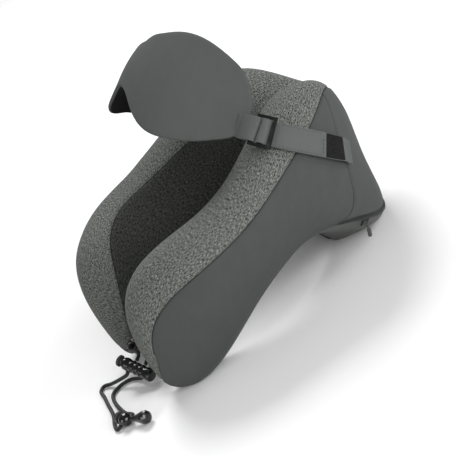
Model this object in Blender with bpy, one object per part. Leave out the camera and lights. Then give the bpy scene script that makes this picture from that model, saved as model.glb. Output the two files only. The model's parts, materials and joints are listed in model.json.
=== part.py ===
"""U shaped neck pillow with a sleep mask on webbing straps and a drawstring at the front tips.

Frame: +Z up, +X is the wearer's left, -Y is the front (the open tips), +Y is the back of the neck.
The pillow rests on the flat underside of its tips and of its back, at z = 0.
Lengths are written in millimetres; MM turns them into metres.
"""
import math

import bmesh
import bpy
import numpy as np
from mathutils import Matrix, Vector
from mathutils.bvhtree import BVHTree

MM = 0.001
GAP = 0.3            # clearance between touching pieces
SKIN = 1.2           # thickness of a cover panel
ORIGIN_Y = 0.365     # moves the whole model so that its box is centred on y = 0

# ---------------------------------------------------------------- pillow: driving dimensions
# Stations run along one arm, from the middle of the back (0) to the tip (1).
STATIONS = (0.0, 0.15, 0.30, 0.45, 0.60, 0.75, 0.88, 1.0)
CENTRE_X = (0, 48, 73, 86.5, 93, 87, 66.5, 38.5)
CENTRE_Y = (110, 96, 70, 34, -13.5, -63, -100, -126)
HALF_WIDTH = (32.5, 34, 36.5, 37.5, 37, 35.5, 34.5, 32.5)
TOP_Z = (119, 147, 154, 142, 129, 126, 114.5, 93)
UNDERSIDE_Z = (-1.6, -4.0, 18, 42.5, 37, 15, -1.6, -1.6)
COARSE = (0.0, 0.30, 0.60, 1.0)
LEAN = (-15.5, -14, -8.5, 4.5)            # how far the top leans outward over the base
FLARE = (10, 24, -3, 2.5)                 # how far the outer foot spreads
SEAM_STATIONS = (0.0, 0.25, 0.50, 0.75, 0.88, 1.0)
OUTER_SEAM = (49, 32, 21.5, 22, 10, -46)  # angle of the seam between side panel and top band
BASE_SEAM = (-50, -56, -64, -68, -68, -68)
INNER_SEAM = (140, 150, 127, 134)         # angle of the seam between top band and inner panel
INNER_BASE_SEAM = 248
SQUARENESS = (3.4, 3.1, 2.6, 2.66)        # exponent of the rounded cross-section
FLARE_POWER = 2.2                         # how low the foot's spread starts
CAP = 0.15                                # share of an arm that is taken by its rounded tip
TIP_Z = 20                                # height of the cord's exit from a tip
CAP_ROUND_SIDE = 2.4
CAP_ROUND_TOP = 3.2
EXIT_SHARE = 0.09                         # size of the cord's exit, as a share of the section
ROWS = 21                                 # grid rows along one arm
BACK_ROWS = 5                             # rows from the middle of the back to the back seam
ROW_CROWDING = 1.45
BACK_SEAM = (0.40, 0.19)                  # station of the back seam, at its foot and at its head
SEAM_BOW = 1.3                            # how much the back seam bows toward the back

# ---------------------------------------------------------------- mask and straps
LOOP_AXIS_Y = 107.0       # the straps leave the back seams here
LOOP_AXIS_Z = 85.0
LOOP_PITCH = math.radians(50)
MASK_FRONT = 177.0        # how far the bridge of the nose stands in front of the loop's axis
MASK_SWEEP = 1.792        # how steeply the two halves of the mask sweep back
MASK_BRIDGE = 60.0        # roundness of the bend between the halves
MASK_LEAN = 0.28          # how far the mask's head leans back toward the pillow
RIGHT_LEAN = 0.17           # the right half hangs with this much more lean,
RIGHT_TUCK = 10.0           # and with its foot drawn up
RIGHT_DROP = 9.0            # and its head a little lower
MASK_W = (0, 13.6, 26.8, 43.3, 65.3, 85, 100.6, 114.2, 122.5, 127.4)
MASK_TOP = (47, 56, 61, 65, 65, 59, 51.5, 41.5, 29, 18)
MASK_LOW = (9, 4, -9.5, -21.5, -24, -21.8, -17.3, -12.6, -4.5, 8)
MASK_EDGE = 4.0           # thickness of the stack at its rim
MASK_DOME = 6.5           # extra thickness at the middle of each half
WEB_WIDTH = 21.0
WEB_THICK = 1.2
FRAME_LENGTH = 19.0
FRAME_THICK = 2.2
FRAME_BAR = 2.8           # width of the adjuster's bars
FRAME_ALONG = 100.0       # the adjuster's place on the strap's line
OVERLAP_END = 37.5        # where the strap's upper layer ends
ANCHOR_END = 4.6          # the sewn tab reaches this far toward the strap's end
ANCHOR_SPREAD = 12.0      # and this far back on the cover

# ---------------------------------------------------------------- front cord and its locks
CORD_R = 1.75
CORD_SPACING = 5.2
LOCK_CENTRE = (0.0, -139.0, 15.8)
LOCK_AXIS = (0.817, 0.300, -0.492)
LOCK_LENGTH = 33.0
LOCK_R = 6.0
LOCK_STROKE = 3.0
TAIL_CENTRE = (42.0, -178.4, 6.4)
TAIL_AXIS = (0.985, 0.172, 0.0)
TAIL_R = 6.3
TAIL_STROKE = 2.0
BELL_AXIS = (0.874, 0.486, 0.0)
EYELET_R = 5.4

# ---------------------------------------------------------------- zip
COIL_R = 0.8
COIL_LIFT = 1.25          # the coil's middle over the zip tape
SLIDER_ROW = 4            # grid row, from the middle of the back, where the slider rests
SLIDER_LIFT = 1.3         # clearance under the slider, so that it follows the coil's bend
SLIDER_LENGTH = 8.0
SLIDER_WIDTH = 5.5
PULL_LENGTH = 10.5

TIP_OUT = (-0.773, -0.634)   # the way the left tip's eyelet faces
ZIP_AXIS_POINT = (34.7, 69.4, 50.5)   # the slider follows an arc round this point

# Each free cord: its place along the lock, the way it leaves, and its route over the floor to the ball.
DRAW_ROUTES = (
    ("right", -14.0, (-0.387, -0.345, -0.855),
     ((-23, -151.9, 9.6), (-32, -156.6, 6.8), (-41, -160.9, 4.2), (-49.5, -164.8, 2.3), (-54.6, -168.8, 1.85),
      (-51.5, -173.0, 1.85), (-41, -175.2, 1.85), (-20.8, -178.0, 1.85), (2, -181, 1.85), (15, -184, 1.85),
      (22.5, -186.6, 1.85), (29, -188.3, 1.9))),
    ("left", 1.0, (-0.49, -0.08, -0.867),
     ((-10, -141, 3.4), (-19, -143.6, 1.95), (-26.8, -148, 1.85), (-31, -158.8, 1.85), (-28.2, -167.2, 1.85),
      (-19.5, -171.3, 1.85), (-1.3, -173.6, 1.85), (16, -173.9, 1.85), (26.5, -172.4, 1.9))),
)

# colours as linear values, with roughness and metallic
FINISHES = {
    "heather_knit": ((0.105, 0.110, 0.103), 0.95, 0.0),
    "plain_knit": ((0.085, 0.089, 0.087), 0.85, 0.0),
    "base_knit": ((0.091, 0.093, 0.093), 0.75, 0.0),
    "foam": ((0.70, 0.66, 0.55), 1.0, 0.0),
    "grey_webbing": ((0.170, 0.170, 0.170), 0.9, 0.0),
    "black_hook": ((0.016, 0.016, 0.015), 0.95, 0.0),
    "black_plastic": ((0.010, 0.010, 0.011), 0.30, 0.0),
    "dark_plastic": ((0.035, 0.035, 0.037), 0.45, 0.0),
    "mask_knit": ((0.100, 0.105, 0.102), 0.80, 0.0),
    "black_lining": ((0.012, 0.012, 0.012), 0.95, 0.0),
    "cord_black": ((0.012, 0.012, 0.012), 0.70, 0.0),
    "zip_tape_grey": ((0.060, 0.062, 0.062), 0.9, 0.0),
    "dark_metal": ((0.060, 0.060, 0.062), 0.35, 1.0),
    "spring_steel": ((0.55, 0.55, 0.55), 0.30, 1.0),
}


# ================================================================ general helpers
def clear_scene():
    for obj in list(bpy.data.objects):
        bpy.data.objects.remove(obj, do_unlink=True)


def finish_material(name):
    mat = bpy.data.materials.get(name)
    if mat:
        return mat
    color, rough, metal = FINISHES[name]
    mat = bpy.data.materials.new(name)
    mat.use_nodes = True
    shader = mat.node_tree.nodes["Principled BSDF"]
    shader.inputs["Base Color"].default_value = (*color, 1.0)
    shader.inputs["Roughness"].default_value = rough
    shader.inputs["Metallic"].default_value = metal
    return mat


def add_mesh(name, verts, faces, finish, smooth=True):
    """A mesh object from millimetre points in the pillow's frame."""
    mesh = bpy.data.meshes.new(name)
    pts = [((x) * MM, (y + ORIGIN_Y) * MM, z * MM) for x, y, z in verts]
    mesh.from_pydata(pts, [], faces)
    mesh.materials.append(finish_material(finish))
    if smooth:
        mesh.shade_smooth()
        mesh.set_sharp_from_angle(angle=math.radians(40))
    obj = bpy.data.objects.new(name, mesh)
    bpy.context.scene.collection.objects.link(obj)
    return obj


def set_origin(obj, point):
    """Puts an object's origin on its joint's axis without moving its surface."""
    shift = Vector((point[0] * MM, (point[1] + ORIGIN_Y) * MM, point[2] * MM))
    obj.data.transform(Matrix.Translation(-shift))
    obj.location = shift


def spline(xs, ys):
    """A smooth curve through points, with no bending at its two ends."""
    xs, ys = np.array(xs, float), np.array(ys, float)
    n, h = len(xs), np.diff(xs)
    system, right = np.eye(n), np.zeros(n)
    for i in range(1, n - 1):
        system[i, i - 1:i + 2] = h[i - 1], 2 * (h[i - 1] + h[i]), h[i]
        right[i] = 6 * ((ys[i + 1] - ys[i]) / h[i] - (ys[i] - ys[i - 1]) / h[i - 1])
    bend = np.linalg.solve(system, right)

    def curve(x):
        x = np.asarray(x, float)
        k = np.clip(np.searchsorted(xs, x, side="right") - 1, 0, n - 2)
        a, b, step = xs[k + 1] - x, x - xs[k], h[k]
        return (bend[k] * a ** 3 + bend[k + 1] * b ** 3) / (6 * step) \
            + (ys[k] / step - bend[k] * step / 6) * a + (ys[k + 1] / step - bend[k + 1] * step / 6) * b
    return curve


def mirrored(xs, ys, odd=False):
    """A curve over both arms, given over one of them."""
    sign = -1 if odd else 1
    return spline([-x for x in xs[:0:-1]] + list(xs), [sign * y for y in ys[:0:-1]] + list(ys))


def unit(v):
    v = np.asarray(v, float)
    return v / np.linalg.norm(v)


def side_frame(axis):
    """Two directions square to an axis, the second as near to straight up as it can be."""
    axis = unit(axis)
    helper = np.array([0.0, 0.0, 1.0]) if abs(axis[2]) < 0.9 else np.array([0.0, 1.0, 0.0])
    across = unit(np.cross(helper, axis))
    return across, np.cross(axis, across)


def turned(name, base, axis, profile, finish, segments=24):
    """A turned solid. The profile's (length, radius) points run from its back to its front."""
    base, axis = np.asarray(base, float), unit(axis)
    across, upright = side_frame(axis)
    closed = profile[0][1] > 0 and profile[0] == profile[-1]
    points = profile[:-1] if closed else profile
    verts, rings = [], []
    for length, radius in points:
        start = len(verts)
        if radius <= 0:
            verts.append(base + axis * length)
            rings.append([start] * segments)
            continue
        for k in range(segments):
            a = 2 * math.pi * k / segments
            verts.append(base + axis * length + radius * (math.cos(a) * across + math.sin(a) * upright))
        rings.append(list(range(start, start + segments)))
    faces = []
    pairs = list(zip(rings, rings[1:] + ([rings[0]] if closed else [])))
    for low, high in pairs if closed else pairs[:len(rings) - 1]:
        for k in range(segments):
            n = (k + 1) % segments
            quad = [low[k], low[n], high[n], high[k]]
            ring = [v for i, v in enumerate(quad) if v != quad[i - 1]]
            if len(ring) > 2:
                faces.append(ring)
    return add_mesh(name, verts, faces, finish)


def face_outward(obj):
    """Turns a closed mesh's faces outward."""
    work = bmesh.new()
    work.from_mesh(obj.data)
    bmesh.ops.recalc_face_normals(work, faces=work.faces)
    if work.calc_volume(signed=True) < 0:
        bmesh.ops.reverse_faces(work, faces=work.faces)
    work.to_mesh(obj.data)
    work.free()
    return obj


def slab(name, outer, inner, finish, smooth=True):
    """A closed sheet between two grids of points that lie over each other."""
    rows, columns = outer.shape[:2]
    verts = list(outer.reshape(-1, 3)) + list(inner.reshape(-1, 3))

    def at(layer, r, c):
        return (layer * rows + r) * columns + c
    faces = []
    for r in range(rows - 1):
        for c in range(columns - 1):
            for layer in (0, 1):
                a, b = at(layer, r, c), at(layer, r, c + 1)
                d, e = at(layer, r + 1, c + 1), at(layer, r + 1, c)
                faces += [[a, b, d], [a, d, e]] if layer == 0 else [[d, b, a], [e, d, a]]
    rim = [(r, 0) for r in range(rows)] + [(rows - 1, c) for c in range(1, columns)]
    rim += [(r, columns - 1) for r in range(rows - 2, -1, -1)] + [(0, c) for c in range(columns - 2, 0, -1)]
    for (r0, c0), (r1, c1) in zip(rim, rim[1:] + rim[:1]):
        faces.append([at(0, r0, c0), at(0, r1, c1), at(1, r1, c1), at(1, r0, c0)])
    return face_outward(add_mesh(name, verts, faces, finish, smooth))


def plate(name, middle, right, up, outline, thickness, finish):
    """A flat piece: an outline of (right, up) points with a thickness square to it."""
    depth = np.cross(right, up) * (thickness / 2)
    count = len(outline)
    verts = [middle + right * a + up * b + depth * k for k in (1, -1) for a, b in outline]
    faces = [list(range(count)), list(range(2 * count - 1, count - 1, -1))]
    faces += [[k, (k + 1) % count, count + (k + 1) % count, count + k] for k in range(count)]
    return face_outward(add_mesh(name, verts, faces, finish, smooth=False))


def route(points, spacing):
    """Even points along a smooth curve through a cord's route points."""
    pts = np.array(points, float)
    along = np.concatenate([[0], np.cumsum(np.linalg.norm(np.diff(pts, axis=0), axis=1))])
    curves = [spline(along, pts[:, k]) for k in range(3)]
    fine = np.linspace(0, along[-1], 400)
    line = np.stack([c(fine) for c in curves], 1)
    run = np.concatenate([[0], np.cumsum(np.linalg.norm(np.diff(line, axis=0), axis=1))])
    count = max(4, int(round(run[-1] / spacing)) + 1)
    even = np.linspace(0, run[-1], count)
    return np.stack([np.interp(even, run, line[:, k]) for k in range(3)], 1)


def cord(name, points, radius, finish, spacing, resolution=2):
    """A round cord or wire as a curve with filled ends."""
    curve = bpy.data.curves.new(name, "CURVE")
    curve.dimensions = "3D"
    curve.bevel_depth = radius * MM
    curve.bevel_resolution = resolution
    curve.use_fill_caps = True
    line = curve.splines.new("POLY")
    pts = route(points, spacing) if spacing else np.array(points, float)
    line.points.add(len(pts) - 1)
    for target, (x, y, z) in zip(line.points, pts):
        target.co = (x * MM, (y + ORIGIN_Y) * MM, z * MM, 1.0)
    curve.materials.append(finish_material(finish))
    obj = bpy.data.objects.new(name, curve)
    bpy.context.scene.collection.objects.link(obj)
    return obj


# ================================================================ pillow surface
even_curves = {
    "y": mirrored(STATIONS, CENTRE_Y), "half": mirrored(STATIONS, HALF_WIDTH),
    "top": mirrored(STATIONS, TOP_Z), "under": mirrored(STATIONS, UNDERSIDE_Z),
    "lean": mirrored(COARSE, LEAN), "flare": mirrored(COARSE, FLARE),
    "outer_seam": mirrored(SEAM_STATIONS, OUTER_SEAM), "base_seam": mirrored(SEAM_STATIONS, BASE_SEAM),
    "inner_seam": mirrored(COARSE, INNER_SEAM), "square": mirrored(COARSE, SQUARENESS),
}
centre_x = mirrored(STATIONS, CENTRE_X, odd=True)


def pillow_points(u, angle):
    """Surface points for a station u (-1 right tip, +1 left tip) and a section angle in radians.

    Angle 0 points outward, 90 degrees up, 180 degrees to the neck, 270 degrees down."""
    step = 1e-3
    x, y = centre_x(u), even_curves["y"](u)
    dx = centre_x(u + step) - centre_x(u - step)
    dy = even_curves["y"](u + step) - even_curves["y"](u - step)
    length = np.hypot(dx, dy)
    out_x, out_y = -dy / length, dx / length
    half, top = even_curves["half"](u), even_curves["top"](u)
    under = even_curves["under"](u)
    lean, flare = even_curves["lean"](u), even_curves["flare"](u)
    middle, rise = (top + under) / 2, (top - under) / 2
    left = np.clip((1 - np.abs(u)) / CAP, 0, 1)
    side_k = np.sqrt(np.maximum(1 - (1 - left) ** CAP_ROUND_SIDE, 0))
    top_k = np.sqrt(np.maximum(1 - (1 - left) ** CAP_ROUND_TOP, 0))
    middle = middle * top_k + TIP_Z * (1 - top_k)
    power = 2 / even_curves["square"](u)
    c, s = np.cos(angle), np.sin(angle)
    side = np.sign(c) * np.abs(c) ** power
    rise_share = np.sign(s) * np.abs(s) ** power
    foot = np.maximum(-rise_share, 0) ** FLARE_POWER * np.clip(side * 1.3, 0, 1)
    outward = side * half * side_k - lean * rise_share * top_k + flare * foot * top_k
    return np.stack([x + out_x * outward, y + out_y * outward, middle + rise_share * rise * top_k], -1)


COLUMN_GROUPS = {                 # shares of each panel's width, from its first seam to its last
    "outer": (0.0, 0.075, 0.22, 0.38, 0.54, 0.70, 0.85, 1.0),
    "top": (0.0, 0.14, 0.28, 0.43, 0.57, 0.72, 0.86, 1.0),
    "inner": (0.0, 0.17, 0.34, 0.50, 0.67, 0.83, 1.0),
    "base": (0.0, 0.25, 0.50, 0.75, 1.0),
}


def grid():
    """The pillow's outer grid, its outward normals and the first column of each group."""
    share = np.linspace(-1, 1, 2 * ROWS + 1)
    end = 1 - CAP * (1 - (1 - EXIT_SHARE ** 2) ** (1 / CAP_ROUND_SIDE))
    warped = 1 - (1 - np.abs(share)) ** ROW_CROWDING
    seam_share = warped[ROWS + BACK_ROWS]
    firsts, columns = {}, []
    for group, shares in COLUMN_GROUPS.items():
        firsts[group] = len(columns)
        columns += [(group, f) for f in shares[:-1]]
    u = np.zeros((len(share), len(columns)))
    angle = np.zeros_like(u)
    heads = {"outer": BACK_SEAM, "top": (BACK_SEAM[1], 0.21), "inner": (0.21, 0.24),
             "base": (0.24, BACK_SEAM[0])}
    for c, (group, f) in enumerate(columns):
        low, high = heads[group]
        seam_u = low + (high - low) * f
        if group == "outer":
            seam_u = high + (low - high) * (1 - f) ** SEAM_BOW
        before = warped <= seam_share
        a = np.where(before, warped / seam_share * seam_u,
                     seam_u + (warped - seam_share) / (1 - seam_share) * (end - seam_u))
        u[:, c] = np.sign(share) * a
        lows = {"outer": even_curves["base_seam"](a), "top": even_curves["outer_seam"](a),
                "inner": even_curves["inner_seam"](a), "base": np.full_like(a, INNER_BASE_SEAM)}
        highs = {"outer": lows["top"], "top": lows["inner"], "inner": lows["base"],
                 "base": lows["outer"] + 360}
        angle[:, c] = np.radians(lows[group] + (highs[group] - lows[group]) * f)
    surface = pillow_points(u, angle)
    along = np.gradient(surface, axis=0)
    around = (np.roll(surface, -1, axis=1) - np.roll(surface, 1, axis=1)) / 2
    normal = np.cross(around, along)
    normal /= np.linalg.norm(normal, axis=2, keepdims=True)
    flat = surface[:, :, 2] < 0
    normal[flat] = (0, 0, -1)
    surface[:, :, 2] = np.maximum(surface[:, :, 2], 0)
    return surface, normal, firsts, len(columns)


SURFACE, NORMAL, FIRST, COLUMNS = grid()


def inset(depth):
    """The grid moved inward by a depth."""
    moved = SURFACE - NORMAL * depth
    moved[:, :, 2] = np.maximum(moved[:, :, 2], depth)
    return moved


def trimmed(points):
    """Draws a patch's rim back by the clearance that neighbouring panels keep."""
    pts = points.copy()
    pull = GAP * 0.75
    for rim, inner in ((0, 1), (-1, -2)):
        step = points[inner] - points[rim]
        pts[rim] += pull * step / np.linalg.norm(step, axis=-1, keepdims=True)
    for rim, inner in ((0, 1), (-1, -2)):
        step = points[:, inner] - points[:, rim]
        pts[:, rim] += pull * step / np.linalg.norm(step, axis=-1, keepdims=True)
    return pts


def patch(name, rows, columns, finish):
    """One cover panel: a patch of the grid with an outer and an inner face."""
    rows, columns = list(rows), [c % COLUMNS for c in columns]
    outer, inner = (trimmed(inset(depth)[rows][:, columns]) for depth in (0.0, SKIN))
    slab(name, outer, inner, finish)


def surface_tree():
    """The cover's outer face, for finding the nearest point on it."""
    faces = []
    for r in range(SURFACE.shape[0] - 1):
        for c in range(COLUMNS):
            n = (c + 1) % COLUMNS
            a, b, d, e = r * COLUMNS + c, r * COLUMNS + n, (r + 1) * COLUMNS + n, (r + 1) * COLUMNS + c
            faces += [(a, b, d), (a, d, e)]
    return BVHTree.FromPolygons([tuple(p) for p in SURFACE.reshape(-1, 3)], faces)


def make_core():
    """The foam inside the cover, closed at both tips."""
    pts = inset(SKIN + GAP)
    count_r = pts.shape[0]
    verts = list(pts.reshape(-1, 3))
    faces = []
    for r in range(count_r - 1):
        for c in range(COLUMNS):
            n = (c + 1) % COLUMNS
            a, b, d, e = r * COLUMNS + c, r * COLUMNS + n, (r + 1) * COLUMNS + n, (r + 1) * COLUMNS + c
            faces += [[a, b, d], [a, d, e]]
    for r in (0, count_r - 1):
        verts.append(pts[r].mean(axis=0))
        for c in range(COLUMNS):
            faces.append([r * COLUMNS + c, r * COLUMNS + (c + 1) % COLUMNS, len(verts) - 1])
    face_outward(add_mesh("foam_core", verts, faces, "foam"))


def make_cover():
    last = 2 * ROWS
    outer = range(FIRST["outer"], FIRST["top"] + 1)
    right_rows, left_rows = range(0, ROWS - BACK_ROWS + 1), range(ROWS + BACK_ROWS, last + 1)
    back_rows = range(ROWS - BACK_ROWS, ROWS + BACK_ROWS + 1)
    patch("side_panel_right", right_rows, outer, "plain_knit")
    patch("side_panel_left", left_rows, outer, "plain_knit")
    patch("back_panel", back_rows, list(outer)[1:], "plain_knit")
    patch("zip_tape", back_rows, list(outer)[:2], "zip_tape_grey")
    patch("top_band", range(last + 1), range(FIRST["top"], FIRST["inner"] + 1), "heather_knit")
    patch("inner_panel", range(last + 1), range(FIRST["inner"], FIRST["base"] + 1), "heather_knit")
    patch("base_panel", range(last + 1), range(FIRST["base"], COLUMNS + 1), "base_knit")


# ================================================================ mask and straps
LOOP_AXIS = np.array([0.0, LOOP_AXIS_Y, LOOP_AXIS_Z])
LOOP_FORWARD = np.array([0.0, -math.cos(LOOP_PITCH), math.sin(LOOP_PITCH)])
LOOP_UP = np.array([0.0, math.sin(LOOP_PITCH), math.cos(LOOP_PITCH)])
ACROSS = np.array([1.0, 0.0, 0.0])
# The strap's line on the left, as (across, forward, twist in degrees) from the seam to the mask.
STRAP_LINE = ((98.0, -3.0, 26), (102.3, 4.0, 25), (108.2, 14, 22), (113.5, 25, 18), (118.4, 37, 15),
              (122.4, 49, 13), (125.2, 61, 12), (124.4, 72.5, 13), (119.5, 83.2, 14), (111.6, 91.8, 15),
              (102.5, 96.8, 12), (94.4, 99.4, 8))


def loop_point(across, forward, up):
    return LOOP_AXIS + ACROSS * across + LOOP_FORWARD * forward + LOOP_UP * up


class StrapLine:
    """The strap's middle line, walked by length from the seam, with its outward and width directions."""

    def __init__(self, side):
        self.side = side
        flat = np.array([(a, f) for a, f, _ in STRAP_LINE], float)
        knots = np.concatenate([[0], np.cumsum(np.hypot(*np.diff(flat, axis=0).T))])
        self.length = knots[-1]
        self.across, self.forward = spline(knots, flat[:, 0]), spline(knots, flat[:, 1])
        self.twist = spline(knots, [t for _, _, t in STRAP_LINE])

    def frame(self, along):
        step = 0.05
        run_a = float(self.across(along + step) - self.across(along - step))
        run_f = float(self.forward(along + step) - self.forward(along - step))
        forward = unit(self.side * run_a * ACROSS + run_f * LOOP_FORWARD)
        twist = math.radians(float(self.twist(along)))
        outward = unit(np.cross(LOOP_UP, forward) * self.side)
        width = math.cos(twist) * LOOP_UP - math.sin(twist) * outward
        outward = math.cos(twist) * outward + math.sin(twist) * LOOP_UP
        point = loop_point(self.side * float(self.across(along)), float(self.forward(along)), 0.0)
        return point, forward, outward, width


def ribbon(name, line, path, finish, width=WEB_WIDTH, thick=WEB_THICK):
    """Webbing along (length on the strap line, height over it) points."""
    path = np.array(path, float)
    steps = np.gradient(path, axis=0)
    verts, faces, count = [], [], len(path)
    for (along, height), (run, rise) in zip(path, steps):
        point, forward, outward, across = line.frame(along)
        size = math.hypot(run, rise)
        normal = (-rise * forward + run * outward) / size
        middle = point + outward * height
        for a, b in ((-1, -1), (1, -1), (1, 1), (-1, 1)):
            verts.append(middle + across * (a * width / 2) + normal * (b * thick / 2))
    for i in range(count - 1):
        for k in range(4):
            m = (k + 1) % 4
            faces.append([i * 4 + k, i * 4 + m, (i + 1) * 4 + m, (i + 1) * 4 + k])
    faces.append([3, 2, 1, 0])
    faces.append([(count - 1) * 4 + k for k in range(4)])
    return face_outward(add_mesh(name, verts, faces, finish, smooth=False))


def turn_back(middle, height, radius, start, steps=7):
    """Half a turn round a bar, from below it to above it, on the mask's side of it."""
    return [(middle + radius * math.cos(a), height + radius * math.sin(a))
            for a in (start + math.pi * k / (steps - 1) for k in range(steps))]


def make_anchor(line, tag, cover):
    """The sewn tab: it lies on the cover at the back seam and reaches under the strap's end."""
    point, forward, outward, across = line.frame(ANCHOR_END)
    half = 0.7
    below = 2.6 + WEB_THICK / 2 + GAP + half
    middle = np.zeros((5, 6, 3))
    for i, share in enumerate(np.linspace(0, 1, 5)):
        for j, k in enumerate(np.linspace(-1, 1, 6)):
            start = point + across * (k * WEB_WIDTH / 2) - outward * below
            seam, _, _, _ = cover.find_nearest(Vector(start - forward * ANCHOR_SPREAD))
            spot = start + (np.array(seam) - start) * share
            near, normal, _, _ = cover.find_nearest(Vector(spot))
            height = (Vector(spot) - near).dot(normal)
            clear = GAP + half + 0.15
            middle[i, j] = spot if height > clear else np.array(near + normal * clear)
    run, rise = np.gradient(middle, axis=0), np.gradient(middle, axis=1)
    normal = np.cross(run, rise)
    normal *= half / np.linalg.norm(normal, axis=2, keepdims=True)
    slab(f"strap_anchor_{tag}", middle + normal, middle - normal, "grey_webbing")


def make_strap(side, tag, cover):
    line = StrapLine(side)
    end, bar = line.length, FRAME_ALONG
    turn = math.hypot(FRAME_BAR, FRAME_THICK) / 2 + GAP + WEB_THICK / 2 + 0.15
    # under layer from the seam, half a turn round the middle bar, and the upper layer back
    under = [(a, -2.6) for a in np.linspace(5.0, bar - 14, 11)]
    under += [(bar - 10, -4.0), (bar - 6, -4.0), (bar - 3, -3.6), (bar - 1, -turn - 0.1)]
    back = turn_back(bar, 0.0, turn, -math.pi / 2 + 0.25)
    over = [(bar - 2.2, turn - 0.25), (bar - 5.3, -2.1), (bar - 6.8, -2.4), (bar - 9.8, -2.35), (bar - 13, -1.4)]
    over += [(a, -0.9) for a in np.linspace(bar - 17, OVERLAP_END, 7)]
    moving = [ribbon(f"strap_webbing_{tag}", line, under + back + over, "grey_webbing")]
    hook = [(a, -1.2) for a in np.linspace(12.0, OVERLAP_END - 0.8, 5)]
    moving.append(ribbon(f"strap_hook_{tag}", line, hook, "black_hook", width=WEB_WIDTH - 1, thick=0.8))
    moving.append(make_adjuster(line, bar, tag))
    outer = bar + (FRAME_LENGTH - FRAME_BAR) / 2
    loop = [(end, 0.6), (end - 4.0, 1.0), (outer + 2.0, turn + 0.1)]
    loop += [(2 * outer - a, h) for a, h in turn_back(outer, 0.0, turn, -math.pi / 2)[::-1]]
    loop += [(outer + 2.0, -turn - 0.1), (end - 4.0, -1.0), (end, -0.9)]
    moving.append(ribbon(f"mask_tab_{tag}", line, loop, "grey_webbing"))
    for piece in moving:
        set_origin(piece, LOOP_AXIS)
    make_anchor(line, tag, cover)


def make_adjuster(line, bar, tag):
    """The moulded frame, curved like the strap: two long sides and three bars, with two slots."""
    half = FRAME_LENGTH / 2
    slots = ((-half + 3.3, -FRAME_BAR / 2), (FRAME_BAR / 2, half - FRAME_BAR))
    stops = [-half, slots[0][0], slots[0][1], slots[1][0], slots[1][1], half]
    reach, slot = WEB_WIDTH / 2 + 3.0, WEB_WIDTH / 2 + 0.6
    levels = [-reach, -slot, slot, reach]
    verts, faces = [], []
    for top in (1, -1):
        for level in levels:
            for stop in stops:
                middle, _, outward, across = line.frame(bar + stop)
                verts.append(middle + across * level + outward * (top * FRAME_THICK / 2))
    row, layer = len(stops), len(stops) * len(levels)
    holes = {(1, 1), (1, 3)}

    def at(top, lv, st):
        return top * layer + lv * row + st
    for lv in range(len(levels) - 1):
        for st in range(len(stops) - 1):
            ring = [(lv, st), (lv, st + 1), (lv + 1, st + 1), (lv + 1, st)]
            if (lv, st) in holes:
                for a, b in zip(ring, ring[1:] + ring[:1]):
                    faces.append([at(0, *b), at(0, *a), at(1, *a), at(1, *b)])
                continue
            faces.append([at(0, *p) for p in ring])
            faces.append([at(1, *p) for p in ring[::-1]])
    rim = [(0, st) for st in range(row)] + [(lv, row - 1) for lv in range(1, len(levels))]
    rim += [(len(levels) - 1, st) for st in range(row - 2, -1, -1)]
    rim += [(lv, 0) for lv in range(len(levels) - 2, 0, -1)]
    for a, b in zip(rim, rim[1:] + rim[:1]):
        faces.append([at(0, *b), at(0, *a), at(1, *a), at(1, *b)])
    return face_outward(add_mesh(f"strap_frame_{tag}", verts, faces, "black_plastic", smooth=False))


def mask_depth(across):
    """How far the mask's face stands behind its front at a distance from the middle."""
    return MASK_SWEEP * (np.hypot(across, MASK_BRIDGE) - MASK_BRIDGE)


MASK_ACROSS = np.linspace(0, 110, 500)
MASK_RUN = np.concatenate([[0], np.cumsum(np.hypot(np.diff(MASK_ACROSS), np.diff(mask_depth(MASK_ACROSS))))])
half_top, half_low = mirrored(MASK_W, MASK_TOP), mirrored(MASK_W, MASK_LOW)
MASK_AXIS = loop_point(0.0, 97.0, 4.0)       # the mask tilts about the line through its two tabs


def slack(w, start, run):
    """Share of the right half's slackness: none on the left half and at the right tab."""
    rise = min(max((-w - start) / run, 0.0), 1.0)
    tail = min(max((MASK_W[-1] + w) / 40.0, 0.0), 1.0)
    return rise * rise * (3 - 2 * rise) * tail * tail * (3 - 2 * tail)


def mask_top(w):
    return float(half_top(w)) - RIGHT_DROP * slack(w, 0.0, 30.0)


def mask_low(w):
    return float(half_low(w)) + RIGHT_TUCK * slack(w, 24.0, 40.0)


def mask_point(w, h, lift):
    """A point of the mask by its length from the middle, its height and its lift off the face."""
    lean = MASK_LEAN + RIGHT_LEAN * slack(w, 0.0, 30.0)
    across = float(np.interp(abs(w), MASK_RUN, MASK_ACROSS))
    normal = unit([MASK_SWEEP * across / math.hypot(across, MASK_BRIDGE), 1.0]) * (lift - lean * h)
    side = -1 if w < 0 else 1
    return loop_point(side * (across + normal[0]), MASK_FRONT - float(mask_depth(across)) + normal[1], h)


def mask_thickness(w, v):
    """Height of the mask's outer face over its lining, for a share v (-1 foot, 1 head)."""
    share = min(abs(w) / MASK_W[-1], 1.0)
    swell = (1 - v * v) * (1 - share ** 4) * (0.35 + 0.65 * math.sin(math.pi * min(share * 1.15, 1.0)) ** 2)
    return MASK_EDGE + MASK_DOME * swell


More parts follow.
